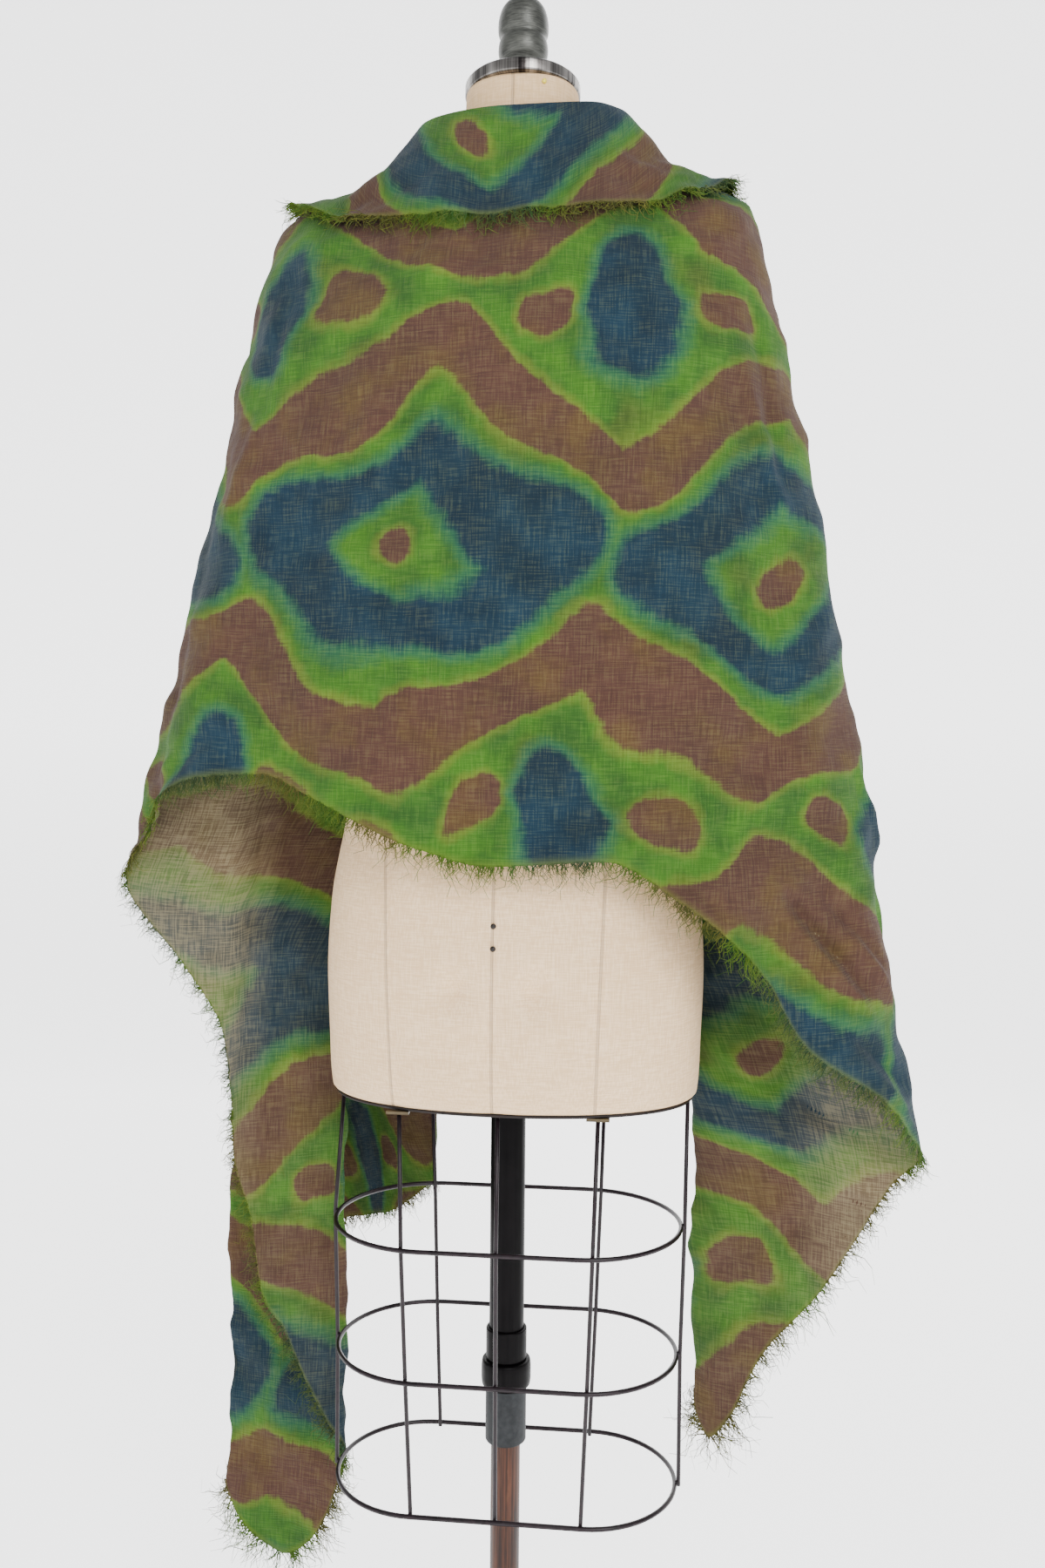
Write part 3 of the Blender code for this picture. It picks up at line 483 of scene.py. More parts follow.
def set_attribute(piece, name, values):
    made = piece.data.attributes.new(name, "FLOAT", "POINT")
    made.data.foreach_set("value", np.ravel(values).astype(np.float32))


def set_weave(piece, across, down):
    """The UV map of the flat cloth, from each point's metres across and down it."""
    corners = np.zeros(len(piece.data.loops), int)
    piece.data.loops.foreach_get("vertex_index", corners)
    pairs = np.stack([across, -down], -1).astype(np.float32)
    piece.data.uv_layers.new(name="weave").data.foreach_set("uv", pairs[corners].ravel())


# ---------------------------------------------------------------- the form's and the cloth's surfaces
def read_table(table, column, at):
    """A column read between its rows: a cubic through each pair that never overshoots them."""
    knots = np.asarray(table["bearing" if "bearing" in table else "height"], float)
    values = np.asarray(table[column], float)
    step = np.diff(knots)
    rise = np.diff(values) / step
    before, after = rise[:-1], rise[1:]
    same = before * after > 0
    weight_before, weight_after = 2 * step[1:] + step[:-1], step[1:] + 2 * step[:-1]
    safe = np.where(same, before * after, 1.0)
    inside = (weight_before + weight_after) * safe
    inside /= weight_before * after + weight_after * before + ~same
    slope = np.concatenate([rise[:1], np.where(same, inside, 0.0), rise[-1:]])
    at = np.clip(np.asarray(at, float), knots[0], knots[-1])
    i = np.clip(np.searchsorted(knots, at, side="right") - 1, 0, len(knots) - 2)
    return hermite((at - knots[i]) / step[i], step[i], values[i], values[i + 1], slope[i], slope[i + 1])


def line_at(table, bearing):
    return np.stack([read_table(table, axis, bearing) for axis in "xyz"], -1)


def body_measure(points):
    """Over zero outside the form: the squarish oval's reach at a point's height, less one."""
    x, y, z = np.moveaxis(points, -1, 0)
    across = np.abs((x - BODY_ASIDE) / read_table(BODY, "half_width", z))
    along = np.abs((y - read_table(BODY, "forward", z)) / read_table(BODY, "half_depth", z))
    reach = across ** BODY_SQUARENESS + along ** BODY_SQUARENESS + 1e-12
    return reach ** (1 / BODY_SQUARENESS) - 1.0


def clear_of_body(points, gap, passes=CLEAR_PASSES):
    """Moves any point that is nearer to the form than the gap straight out of it."""
    for _ in range(passes):
        value = body_measure(points)
        slope = np.stack([(body_measure(points + TINY_STEP * axis) - value) / TINY_STEP
                          for axis in np.eye(3)], -1)
        steep = np.linalg.norm(slope, axis=-1) + 1e-9
        short = np.maximum(gap - value / steep, 0.0)
        points = points + (short / steep)[..., None] * slope
    return points


def cloth_points(bearing, share):
    """The cloth's middle: bearings along the first axis, shares of each rib along the second.

    A rib is a smooth cubic through the neck fold, the dip beside the neck, the yoke, the middle of the
    hang and the lower edge, with the soft folds added and the form cleared.
    """
    fold, yoke, edge = (line_at(table, bearing) for table in (FOLD_LINE, YOKE_LINE, LOWER_EDGE))
    angle = np.radians(bearing)
    outward = np.stack([np.sin(angle), -np.cos(angle), np.zeros_like(angle)], -1)
    middle = 0.5 * (yoke + edge) + read_table(LOWER_EDGE, "bow", bearing)[:, None] * outward
    middle[:, 0] += read_table(LOWER_EDGE, "lean", bearing)
    knots = np.array(RIB_KNOTS)
    beside = fold + (yoke - fold) * knots[1] / knots[2]
    beside[:, 2] -= read_table(FOLD_LINE, "dip", bearing)
    places = np.stack([fold, beside, yoke, middle, edge], 1)
    step = np.diff(knots)[None, :, None]
    rise = np.diff(places, axis=1) / step
    inside = (rise[:, :-1] * step[:, 1:] + rise[:, 1:] * step[:, :-1]) / (step[:, 1:] + step[:, :-1])
    slope = np.concatenate([rise[:, :1], inside, rise[:, -1:]], 1)
    slope[:, 2] *= YOKE_ROUNDNESS
    i = np.clip(np.searchsorted(knots, share, side="right") - 1, 0, len(knots) - 2)
    span = knots[i + 1] - knots[i]
    t = ((share - knots[i]) / span)[..., None]
    row = np.arange(len(bearing))[:, None]
    points = hermite(t, span[..., None], places[row, i], places[row, i + 1],
                     slope[row, i], slope[row, i + 1])
    points = points + soft_folds(bearing, share)[..., None] * outward[:, None]
    return clear_of_body(points, CLOTH_OFF_BODY)


def soft_folds(bearing, share):
    """How far the soft folds stand out at each point: a bell across the rib, growing down it."""
    out = np.zeros_like(share)
    for centre, half_width, depth, start in zip(*SOFT_FOLDS.values()):
        across = np.exp(-((bearing - centre) / half_width) ** 2)
        down = np.clip((share - start) / (1 - start), 0, 1) ** 1.5
        out += depth * across[:, None] * down
    return out


def even_bearings(first, last, count):
    """Ribs at even steps along the lower edge, closer together where the edge turns."""
    fine = np.linspace(first, last, EDGE_STATIONS)
    step = np.diff(line_at(LOWER_EDGE, fine), axis=0)
    ahead = unit(step)
    turn = np.arccos(np.clip(np.sum(ahead[1:] * ahead[:-1], 1), -1, 1))
    cost = np.linalg.norm(step, axis=1) + TURN_WEIGHT * np.concatenate([[0.0], turn])
    run = np.concatenate([[0.0], np.cumsum(cost)])
    return np.interp(np.linspace(0.0, run[-1], count), run, fine)


def read_ribs(at, known, values):
    """Interpolates along each rib: values given at known places, read at others."""
    return np.stack([np.interp(a, k, v) for a, k, v in zip(at, known, values)])


def level_run(bearing, reach, fine_run, fine_points):
    """For each point, the level run of cloth from the centre back, at equal lengths down the ribs."""
    length = np.linspace(0.0, fine_run.max(), LEVEL_STATIONS)
    plan = np.stack([read_ribs([length] * len(bearing), fine_run, fine_points[..., axis])
                     for axis in range(2)], -1)
    total = run_along(plan)
    total -= total[np.argmin(np.abs(bearing))]
    return read_ribs(reach, [length] * len(bearing), total)


def face_normals(points):
    """Unit normals of a grid of points: its step down the ribs crossed with its step across them."""
    return unit(np.cross(np.gradient(points, axis=1), np.gradient(points, axis=0)))


# ---------------------------------------------------------------- creases
# Soft creases, each a line in the cloth's own metres: across from the centre back and down from the level
# LEVEL_ZERO; its half width; and how far it stands out, or in if negative.
CREASES = millimetres(
    across=(245, 262, 290, 318, 300, 330, 150, 172, -89, 222, 205, -190, -215, -255, -300, -330,
            -120, -30, 60, 100, -60, 340, 365, -345, -365),
    down=(395, 432, 410, 450, 520, 560, 385, 173, 9, -120, -60, -130, -70, 280, 300, 345, 320, 340,
          335, 350, -180, 300, 420, 180, 300),
    to_across=(335, 345, 368, 385, 392, 410, 200, 177, -72, 258, 262, -248, -262, -335, -370, -395,
               -150, -22, 75, 135, -85, 385, 420, -375, -400),
    to_down=(500, 530, 490, 530, 590, 640, 430, 205, 12, 60, 100, 40, 120, 345, 345, 400, 372, 395,
             385, 392, -120, 390, 520, 290, 380),
    half_width=(6.5, 5.5, 6, 5, 7, 6, 5, 3.5, 3, 10, 8.5, 10, 8, 7, 6, 6, 5.5, 5, 6, 5, 8, 8, 7, 8,
                7),
    depth=(-3, 2.4, -2, 1.8, -2.6, 2, -1.4, -0.9, -0.7, -2, 1.6, -1.8, 1.4, -1.6, 1.4, -1.8, -1.2,
           1, -1.2, 1.2, -1.2, 2, -2, -1.8, 1.6),
)
SOFT_WAVES = dict(
    length=(0.140, 0.095, 0.062, 0.047, 0.083, 0.036, 0.029),
    heading=(14, 74, 122, 38, 158, 97, 61),
    height=(0.0010, 0.0008, 0.0005, 0.00035, 0.0006, 0.00022, 0.00018),
    phase=(0.4, 2.1, 3.7, 5.2, 1.3, 0.9, 4.4),
)
CREASE_STRENGTH, WAVE_STRENGTH = 2.5, 1.7
CREASE_FADE = 0.42               # from a crease's middle to where it fades, as a share of its length


def creases(across, down):
    """How far the cloth stands out: every crease is a bell about its line, fading at its ends."""
    out = np.zeros_like(across)
    for a, d, to_a, to_d, half_width, depth in zip(*CREASES.values()):
        length = math.hypot(to_a - a, to_d - d)
        along = ((across - a) * (to_a - a) + (down - d) * (to_d - d)) / length ** 2
        aside = ((across - a) * (to_d - d) - (down - d) * (to_a - a)) / length
        fade = np.exp(-((along - 0.5) / CREASE_FADE) ** 4)
        out += depth * fade * np.exp(-(aside / half_width) ** 2)
    return out


def soft_waves(across, down, squeeze=1.0, shift=0.0):
    """A slight unevenness of cloth in the hand: a sum of long, low waves that run different ways."""
    out = np.zeros_like(across)
    for length, heading, height, phase in zip(*SOFT_WAVES.values()):
        turn = math.radians(heading)
        run = (across * math.cos(turn) + down * math.sin(turn)) * 2 * math.pi / (length * squeeze)
        bend = 1.2 * np.sin(run * 0.31 + phase * 2.0 + shift)
        out += height * np.sin(run + phase + bend + shift)
    return out


# ---------------------------------------------------------------- the dye bands
LEVEL_ZERO = 1.327               # the run down the cloth is counted from this height
PLEAT, ROW_PLEAT = 0.165, 0.215  # the cloth is folded to this width, then to this height, for the dye
PLEAT_SHIFT, PLEAT_SLANT = 0.058, 0.13
ROW_SHIFT, ROW_SLANT = 0.090, 0.05
WANDER = 0.009                   # how far the bands stray from their lines
FAR = 1.0

# A plain pattern of zigzags, rings and dots in one quarter of the repeat, mirrored at its sides by the
# folding. Rows with the same number make one band, a chain of round strokes: where it runs across and
# down, and its half width there.
BROWN_BANDS = dict(
    band=(0, 0, 0, 1, 1, 2),
    across=(0.000, 0.085, 0.165, 0.076, 0.094, 0.000),
    down=(0.040, 0.088, 0.148, 0.000, 0.004, 0.215),
    half_width=(0.027, 0.031, 0.024, 0.019, 0.016, 0.017),
)
BLUE_BANDS = dict(
    band=(0, 0, 0, 1, 1),
    across=(0.000, 0.064, 0.122, 0.165, 0.165),
    down=(0.134, 0.168, 0.214, 0.000, 0.026),
    half_width=(0.019, 0.024, 0.036, 0.042, 0.030),
)


def band_distance(bands, across, down):
    """Metres to the nearest band's edge, negative inside: each band is a chain of tapering strokes."""
    nearest = np.full(across.shape, FAR)
    rows = list(zip(*bands.values()))
    for (band, a, d, width), (next_band, to_a, to_d, to_width) in zip(rows, rows[1:] + rows[-1:]):
        if band != next_band:
            to_a, to_d, to_width = a, d, width
        length = (to_a - a) ** 2 + (to_d - d) ** 2 + 1e-12
        t = np.clip(((across - a) * (to_a - a) + (down - d) * (to_d - d)) / length, 0.0, 1.0)
        off = np.hypot(across - a - t * (to_a - a), down - d - t * (to_d - d))
        nearest = np.minimum(nearest, off - width - t * (to_width - width))
    return nearest


def there_and_back(value, period):
    """Folds a line into a zigzag between 0 and the period, as cloth pleated to that width."""
    return period - np.abs(np.mod(value, 2 * period) - period)


def add_dye(sheet):
    """The distances to the brown and the blue bands after the cloth's folding for the dye bath."""
    across, down = sheet["across"], sheet["down"]
    sway = np.sin(across * 23 + down * 17 + 0.7) + 0.7 * np.sin(down * 43 - across * 11 + 2.2)
    sag = np.sin(across * 27 - down * 21 + 1.9) + 0.7 * np.sin(across * 49 + down * 9 + 4.0)
    pleat = there_and_back(across + PLEAT_SHIFT + PLEAT_SLANT * down + WANDER * sway, PLEAT)
    row = there_and_back(down + ROW_SHIFT - ROW_SLANT * across + WANDER * sag, ROW_PLEAT)
    for name, bands in (("brown", BROWN_BANDS), ("blue", BLUE_BANDS)):
        sheet[name] = band_distance(bands, pleat, row)


# ---------------------------------------------------------------- cloth pieces
BESIDE, TURN_TO_FRONT = 90.0, 16.0
HANG_STRETCH = 1.03              # beside the form, the run down is the fall in height, times this
WRONG_SIDE_FROM = 92.0           # the wrong side shows, more crinkled, past this bearing
CRINKLE_HEIGHT, CRINKLE_SQUEEZE, CRINKLE_SHIFT = 0.55, 0.42, 1.7
SETTLE_DEPTH = 0.06              # the creases grow over this much cloth below the neck fold
FADED = dict(bearing=(92, 95, 99, 106), share=(1.0, 1.0, 0.868, 0.12))
CREASE_CLEARANCE = CLOTH_OFF_BODY - 0.0012
WORN_EDGE = 0.006                # metres of worn cloth along the frayed edges


def cloth_sheet():
    """The whole hanging cloth as arrays on one grid of ribs and rows.

    Across is the level run of cloth from the centre back rib, and down the run below LEVEL_ZERO. The
    crease heights are added along the normals, and the form is cleared once more.
    """
    parts = [even_bearings(*row) for row in zip(*(CLOTH_PARTS[c] for c in ("first", "last", "ribs")))]
    bearing = np.concatenate([parts[0], parts[1][1:], parts[2][1:]])
    fine_share = np.tile(np.linspace(0.0, 1.0, FINE_STATIONS), (len(bearing), 1))
    fine_points = cloth_points(bearing, fine_share)
    fine_run = run_along(fine_points, 1)
    reach = fine_run[:, -1:] * np.linspace(0.0, 1.0, ROWS_DOWN)
    points = cloth_points(bearing, read_ribs(reach, fine_run, fine_share))
    crossing = np.stack([[np.interp(-LEVEL_ZERO, -p[:, 2], r)] for p, r in zip(fine_points, fine_run)])
    down = reach - crossing + np.maximum(LEVEL_ZERO - points[:, :1, 2], 0.0)
    turned_away = np.abs(bearing)[:, None]
    front = np.clip((turned_away - BESIDE) / TURN_TO_FRONT, 0.0, 1.0)
    front = front * front * (3 - 2 * front)
    down = (1 - front) * down + front * HANG_STRETCH * (LEVEL_ZERO - points[..., 2])
    across = level_run(bearing, reach, fine_run, fine_points)
    height = CREASE_STRENGTH * creases(across, down) + WAVE_STRENGTH * soft_waves(across, down)
    crinkle = CRINKLE_HEIGHT * soft_waves(across, down, CRINKLE_SQUEEZE, CRINKLE_SHIFT)
    height += (turned_away > WRONG_SIDE_FROM) * crinkle
    height *= np.minimum(reach / SETTLE_DEPTH, 1.0)
    points = clear_of_body(points + height[..., None] * face_normals(points), CREASE_CLEARANCE, 2)
    faded = np.interp(np.abs(bearing), FADED["bearing"], FADED["share"])
    return dict(bearing=bearing, reach=reach, points=points, normals=face_normals(points),
                across=across, down=down, run=fine_run, shares=fine_share, height=height,
                faded=np.repeat(faded[:, None], ROWS_DOWN, 1))


def collar_sheet(cloth):
    """The turned-over edge: the cloth's points moved out, after a half-round roll over the neck fold.

    It rises from the cloth with a quarter sine, has its own waves, and its frayed edge curls up as the
    fifth power of the way down.
    """
    chosen = (cloth["bearing"] > COLLAR_ENDS[0]) & (cloth["bearing"] < COLLAR_ENDS[1])
    bearing, cloth_reach = cloth["bearing"][chosen], cloth["reach"][chosen]
    part = np.linspace(0.0, 1.0, COLLAR_ROWS)
    reach = read_table(FOLD_LINE, "collar", bearing)[:, None] * part
    under = cloth_points(bearing, read_ribs(reach, cloth["run"][chosen], cloth["shares"][chosen]))
    height, across = (read_ribs(reach, cloth_reach, cloth[name][chosen]) for name in ("height", "across"))
    normals = face_normals(under)
    swell = np.sin(0.5 * math.pi * np.minimum(part / COLLAR_SWELL, 1.0))
    rise = COLLAR_RISE[0] + (COLLAR_RISE[1] - COLLAR_RISE[0]) * swell
    own = 0.8 * np.abs(soft_waves(across, reach, 0.8, 2.6)) * np.minimum(part * 2.0, 1.0)
    curl = COLLAR_LIFT * part ** 5 * (1.0 + 0.6 * np.sin(across * 95 + 1.1 * np.sin(across * 31)))
    lifted = under + (rise + height + own + curl)[..., None] * normals
    turn = np.linspace(-0.5 * math.pi, 0.5 * math.pi, ROLL_ROWS + 1)[:-1, None]
    upward = unit(under[:, :1] - under[:, 1:2])
    radius = 0.5 * COLLAR_RISE[0]
    roll = under[:, :1] + radius * (normals[:, :1] * (1 + np.sin(turn)) + upward * np.cos(turn))
    points = np.concatenate([roll, lifted], 1)
    back = -radius * np.linspace(math.pi, 0.0, ROLL_ROWS + 1)[None, :-1]
    travel = np.concatenate([np.repeat(back, len(bearing), 0), reach], 1)
    across = np.concatenate([np.repeat(across[:, :1], ROLL_ROWS, 1), across], 1)
    return dict(bearing=bearing, points=points, normals=face_normals(points), across=across,
                down=cloth["down"][chosen][:, :1] - travel, faded=np.zeros_like(across))


def cloth_shell(name, sheet, part, finish):
    """A thin closed shell on a slice of a sheet: right face, wrong face and the rim between them."""
    here = {key: values[part] for key, values in sheet.items()}
    offset = CLOTH_HALF * here["normals"]
    ribs, rows = offset.shape[:2]
    count = ribs * rows
    right = grid_faces(ribs, rows)
    wrong = right[:, ::-1] + count
    rim = np.concatenate([np.arange(rows), np.arange(2 * rows - 1, count, rows),
                          np.arange(count - 2, count - rows - 1, -1),
                          np.arange(count - 2 * rows, 0, -rows)])
    after = np.roll(rim, -1)
    edge = np.stack([after, rim, rim + count, after + count], -1)
    both = np.stack([here["points"] + offset, here["points"] - offset])
    piece = add_piece(name, both, [right, wrong, edge], finish)
    run = run_along(here["points"], 1)
    here["worn"] = np.clip(1 - (run[:, -1:] - run) / WORN_EDGE, 0, 1)
    for attribute in ("brown", "blue", "worn"):
        set_attribute(piece, attribute, np.tile(here[attribute].ravel(), 2))
    set_attribute(piece, "wrong", [0 * here["faded"], here["faded"]])
    set_weave(piece, *(np.tile(here[key].ravel(), 2) for key in ("across", "down")))
    normals = here["normals"].reshape(-1, 3)
    piece.data.normals_split_custom_set_from_vertices(np.concatenate([normals, -normals]).tolist())
    return piece


# ---------------------------------------------------------------- fringe
THREADS_PER_METRE = 2000
THREAD_RADIUS, THREAD_THINNING = 0.00044, 0.6
THREAD_STATIONS, THREAD_SIDES = 5, 3
THREAD_ROOT = 0.0012             # how far each thread starts inside the cloth's edge
THREAD_SHORTEST, THREAD_LONGEST = 0.003, 0.034
THREAD_DROOP = 0.22
LOWER_FRINGE = dict(
    bearing=(-168, -150, -137, -131, -125, -118, -100, -90, -60, 0, 40, 84, 92, 112, 120, 130, 145, 168),
    length=(0.008, 0.009, 0.011, 0.022, 0.017, 0.010, 0.009, 0.010, 0.011, 0.011, 0.011, 0.011, 0.010,
            0.012, 0.024, 0.012, 0.009, 0.008),
)
COLLAR_FRINGE = dict(
    bearing=(-168, -150, -90, 90, 150, 168),
    length=(0.004, 0.008, 0.0105, 0.0105, 0.008, 0.004),
)


def fringe(name, sheet, lengths, seed):
    """Loose threads along a sheet's last row: curved three-sided spikes that swing, curl and droop.

    A thread's middle line is its root plus its length times: a way out that leans with its clump, a
    sideways sine for the curl and a fall that grows as the square of the way along.
    """
    chance = np.random.default_rng(seed)
    edge, inside = sheet["points"][:, -1], sheet["points"][:, -3]
    run = run_along(edge)
    count = int(run[-1] * THREADS_PER_METRE)
    at = np.sort(chance.uniform(0.0, run[-1], count))

    def read(values):
        return np.stack([np.interp(at, run, column) for column in values.T], -1)

    into, normal = read(inside - edge), read(sheet["normals"][:, -1])
    ahead = unit(read(np.gradient(edge, run, axis=0)))
    out = unit(np.sum(into * ahead, 1)[:, None] * ahead - into)
    clump = 0.7 * np.sin(at * 610 + 3 * np.sin(at * 170)) + 0.5 * np.sin(at * 1450 + seed)
    lean = 0.55 * clump + chance.normal(0.0, 0.45, count)
    tip_out = 0.25 * np.sin(at * 380) + chance.normal(0.0, 0.28, count)
    usual = np.interp(np.interp(at, run, sheet["bearing"]), lengths["bearing"], lengths["length"])
    length = np.clip(usual * chance.gamma(5.0, 0.2, count), THREAD_SHORTEST, THREAD_LONGEST)[:, None]
    way = unit(out + lean[:, None] * ahead + tip_out[:, None] * normal)
    side = np.cross(way, normal)
    t = np.linspace(0.0, 1.0, THREAD_STATIONS)
    swing, turns, phase = (chance.uniform(low, high, count)[:, None]
                           for low, high in ((0.16, 0.46), (0.5, 1.6), (0.0, 2 * math.pi)))
    spin = 2 * math.pi * turns * t + phase
    along = t * length
    curl, other = swing * along * np.sin(spin), 0.6 * swing * along * np.cos(spin)
    middle = ((read(edge) - THREAD_ROOT * out)[:, None] + along[..., None] * way[:, None]
              + curl[..., None] * side[:, None] + other[..., None] * normal[:, None])
    middle[..., 2] -= THREAD_DROOP * length * t ** 2
    thick = THREAD_RADIUS * chance.uniform(0.7, 1.35, count)[:, None] * (1 - THREAD_THINNING * t)
    angle = full_circle(THREAD_SIDES)[:, None]
    ring = np.cos(angle) * side[:, None, None] + np.sin(angle) * normal[:, None, None]
    each = THREAD_STATIONS * THREAD_SIDES
    first = (np.arange(count) * each)[:, None, None]
    quads = (grid_faces(THREAD_STATIONS, THREAD_SIDES, around=True) + first).reshape(-1, 4)
    caps = (np.array([[0, 2, 1], [each - 3, each - 2, each - 1]]) + first).reshape(-1, 3)
    piece = add_piece(name, middle[:, :, None] + thick[..., None, None] * ring, [quads, caps],
                      FINISHES["fringe"])
    edge_of = {key: np.interp(at, run, sheet[key][:, -1]) for key in ("brown", "blue", "across", "down")}
    edge_of["strand"] = chance.uniform(0.0, 1.0, count)
    for attribute in ("brown", "blue", "strand"):
        set_attribute(piece, attribute, np.repeat(edge_of[attribute], each))
    set_attribute(piece, "tip", np.tile(np.repeat(t, THREAD_SIDES), count))
    set_weave(piece, *(np.repeat(edge_of[key], each) for key in ("across", "down")))
    return piece


def build_cloth():
    """The three hanging parts and the collar, each a shell of the one cloth, with their two fringes."""
    cloth = cloth_sheet()
    collar = collar_sheet(cloth)
    for sheet in (cloth, collar):
        add_dye(sheet)
    stops = [0, *np.cumsum(np.array(CLOTH_PARTS["ribs"]) - 1)]
    made = {name: cloth_shell(name, cloth, slice(first, last + 1), FINISHES["cloth"])
            for name, first, last in zip(CLOTH_PARTS["name"], stops, stops[1:])}
    made["cloth_collar"] = cloth_shell("cloth_collar", collar, slice(None), FINISHES["collar"])
    made["fringe_lower"] = fringe("fringe_lower", cloth, LOWER_FRINGE, 3)
    made["fringe_collar"] = fringe("fringe_collar", collar, COLLAR_FRINGE, 8)
    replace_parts(made["cloth_back"], "shawl_back")
    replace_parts(made["cloth_left"], "shawl_left_inner", "shawl_left_end", "shawl_left_front")
    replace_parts(made["cloth_right"], "shawl_right_inner", "shawl_right_end", "shawl_right_front")
    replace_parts(made["cloth_collar"], "collar_back", "collar_left_front", "collar_right_front")
    sides = ("back", "left_inner", "left_end", "left_front", "right_inner", "right_end", "right_front")
    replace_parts(made["fringe_lower"], *(f"fray_{side}" for side in sides))
    sides = ("back", "left_front", "right_front")
    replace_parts(made["fringe_collar"], *(f"fray_collar_{side}" for side in sides))
    return made


# ---------------------------------------------------------------- the form's and the stand's finishes
SEAMS = dict(low=(-0.092, -0.003, 0.085), high=(-0.1005, -0.002, 0.093))
SEAM_LOW, SEAM_HIGH = 0.725, 0.945
SEAM_EDGE, SIDE_SEAM_EDGE = (0.0004, 0.0016), (0.0006, 0.0018)
SIDE_SEAM_TOP = (1.50, 1.52)
# heights over which the painted shade, with a yellower tone, comes in up the neck
NECK_SHADE_HEIGHTS = (1.56, 1.62)
LINEN_SHADE, LINEN_LIGHT = seen(222, 186, 142), seen(240, 209, 168)
SOILED, SHADED_YELLOW, SEAM_DARK = seen(204, 170, 128), seen(170, 136, 88), seen(150, 130, 106)
ROD_DARK, ROD_BROWN, ROD_RUBBED = seen(28, 15, 11), seen(84, 48, 30), seen(120, 84, 58)
# the dark and the bright of the painted reflection on the neck plate
REFLECTION_DARK, REFLECTION_BRIGHT = seen(30, 26, 26), seen(150, 146, 142)
LINEN_RELIEF, ROD_RELIEF = 0.0009, 0.0003


def linen_cover():
    """Cream linen stretched over the form: fine weave, faint soiling, and seams sewn down the back."""
    finish = Finish("linen_cover", Roughness=0.88, Sheen_Weight=0.06, Specular_IOR_Level=0.25)
    place = finish.place()
    x, y, z = (finish.axis(place, number) for number in range(3))
    weave = finish.noise(place, (900.0, 900.0, 60.0)) + finish.noise(place, (70.0, 70.0, 900.0))
    colour = finish.mix(weave.share(1.4, 0.2, 0.9), LINEN_SHADE, LINEN_LIGHT)
    colour = finish.mix(finish.noise(place, 9.0, 3.0).share(2.0, 0.3, 1.0) * 0.22, colour, SOILED)
    # painted shade: the cover darkens and turns yellower up towards the neck
    colour = finish.mix(z.rise(*NECK_SHADE_HEIGHTS) * 0.34, colour, SHADED_YELLOW)
    groove = abs(y).fall(*SIDE_SEAM_EDGE) * z.fall(*SIDE_SEAM_TOP)
    for low, high in zip(SEAMS["low"], SEAMS["high"]):
        line = low + (z - SEAM_LOW) * ((high - low) / (SEAM_HIGH - SEAM_LOW))
        groove = groove.most(abs(x - line).fall(*SEAM_EDGE))
    finish.paint("Base Color", finish.mix(groove * 0.42, colour, SEAM_DARK))
    finish.emboss(weave * 0.25 + 0.5 - groove * 1.1, LINEN_RELIEF)
    return finish.material


def worn_metal(name, dark, light, roughness, metallic, streak=(3.0, 3.0, 900.0), bump=0.0, gloss=0.5):
    """Metal or enamel with fine streaks along its length or round it, and slightly uneven gloss."""
    finish = Finish(name, Metallic=metallic, Specular_IOR_Level=gloss)
    place = finish.place()
    grain, cloud = finish.noise(place, streak, 3.0), finish.noise(place, 46.0, 3.0)
    wear = (grain * 1.6 + cloud + 0.5).rise(0.0, 1.0)
    finish.paint("Base Color", finish.mix(wear, seen(*dark), seen(*light)))
    finish.paint("Roughness", (roughness + grain * 0.14 + cloud * 0.16).most(0.04))
    if bump:
        finish.emboss(grain + 0.5, bump)
    return finish.material


def browned_rod():
    """A bare steel rod gone brown, with long scratches and rubbed bright patches."""
    finish = Finish("browned_rod", Metallic=0.2, Specular_IOR_Level=0.3)
    place = finish.place()
    scratch = finish.noise(place, (420.0, 420.0, 9.0), 4.0, 0.7)
    patch = finish.noise(place, (60.0, 60.0, 14.0), 4.0, 0.6)
    colour = finish.mix((scratch * 1.8 + patch + 0.5).rise(0.15, 0.95), ROD_DARK, ROD_BROWN)
    colour = finish.mix((patch * 2.2).rise(0.25, 0.7) * 0.6, colour, ROD_RUBBED)
    finish.paint("Base Color", colour)
    finish.paint("Roughness", 0.46 + patch * 0.35)
    finish.emboss(scratch + 0.5, ROD_RELIEF)
    return finish.material


def plate_steel():
    """The polished neck plate: painted reflection, upright bands dark and bright round its side."""
    finish = Finish("plate_steel", Metallic=0.9)
    place = finish.place()
    around = finish.axis(place, 1).angle_over(finish.axis(place, 0) - BODY_ASIDE)
    line = finish.node("ShaderNodeCombineXYZ", None, (around, 0.0, 0.0))
    # painted reflection: upright bands, dark and bright, by the angle round the plate
    bands = finish.noise(line, 3.6) + finish.noise(line, 26.0) * 0.4
    finish.paint("Base Color", finish.mix(bands.share(2.4, 0.1, 0.9), REFLECTION_DARK, REFLECTION_BRIGHT))
    finish.paint("Roughness", 0.30 + finish.noise(place, (8.0, 8.0, 700.0)) * 0.16)
    return finish.material


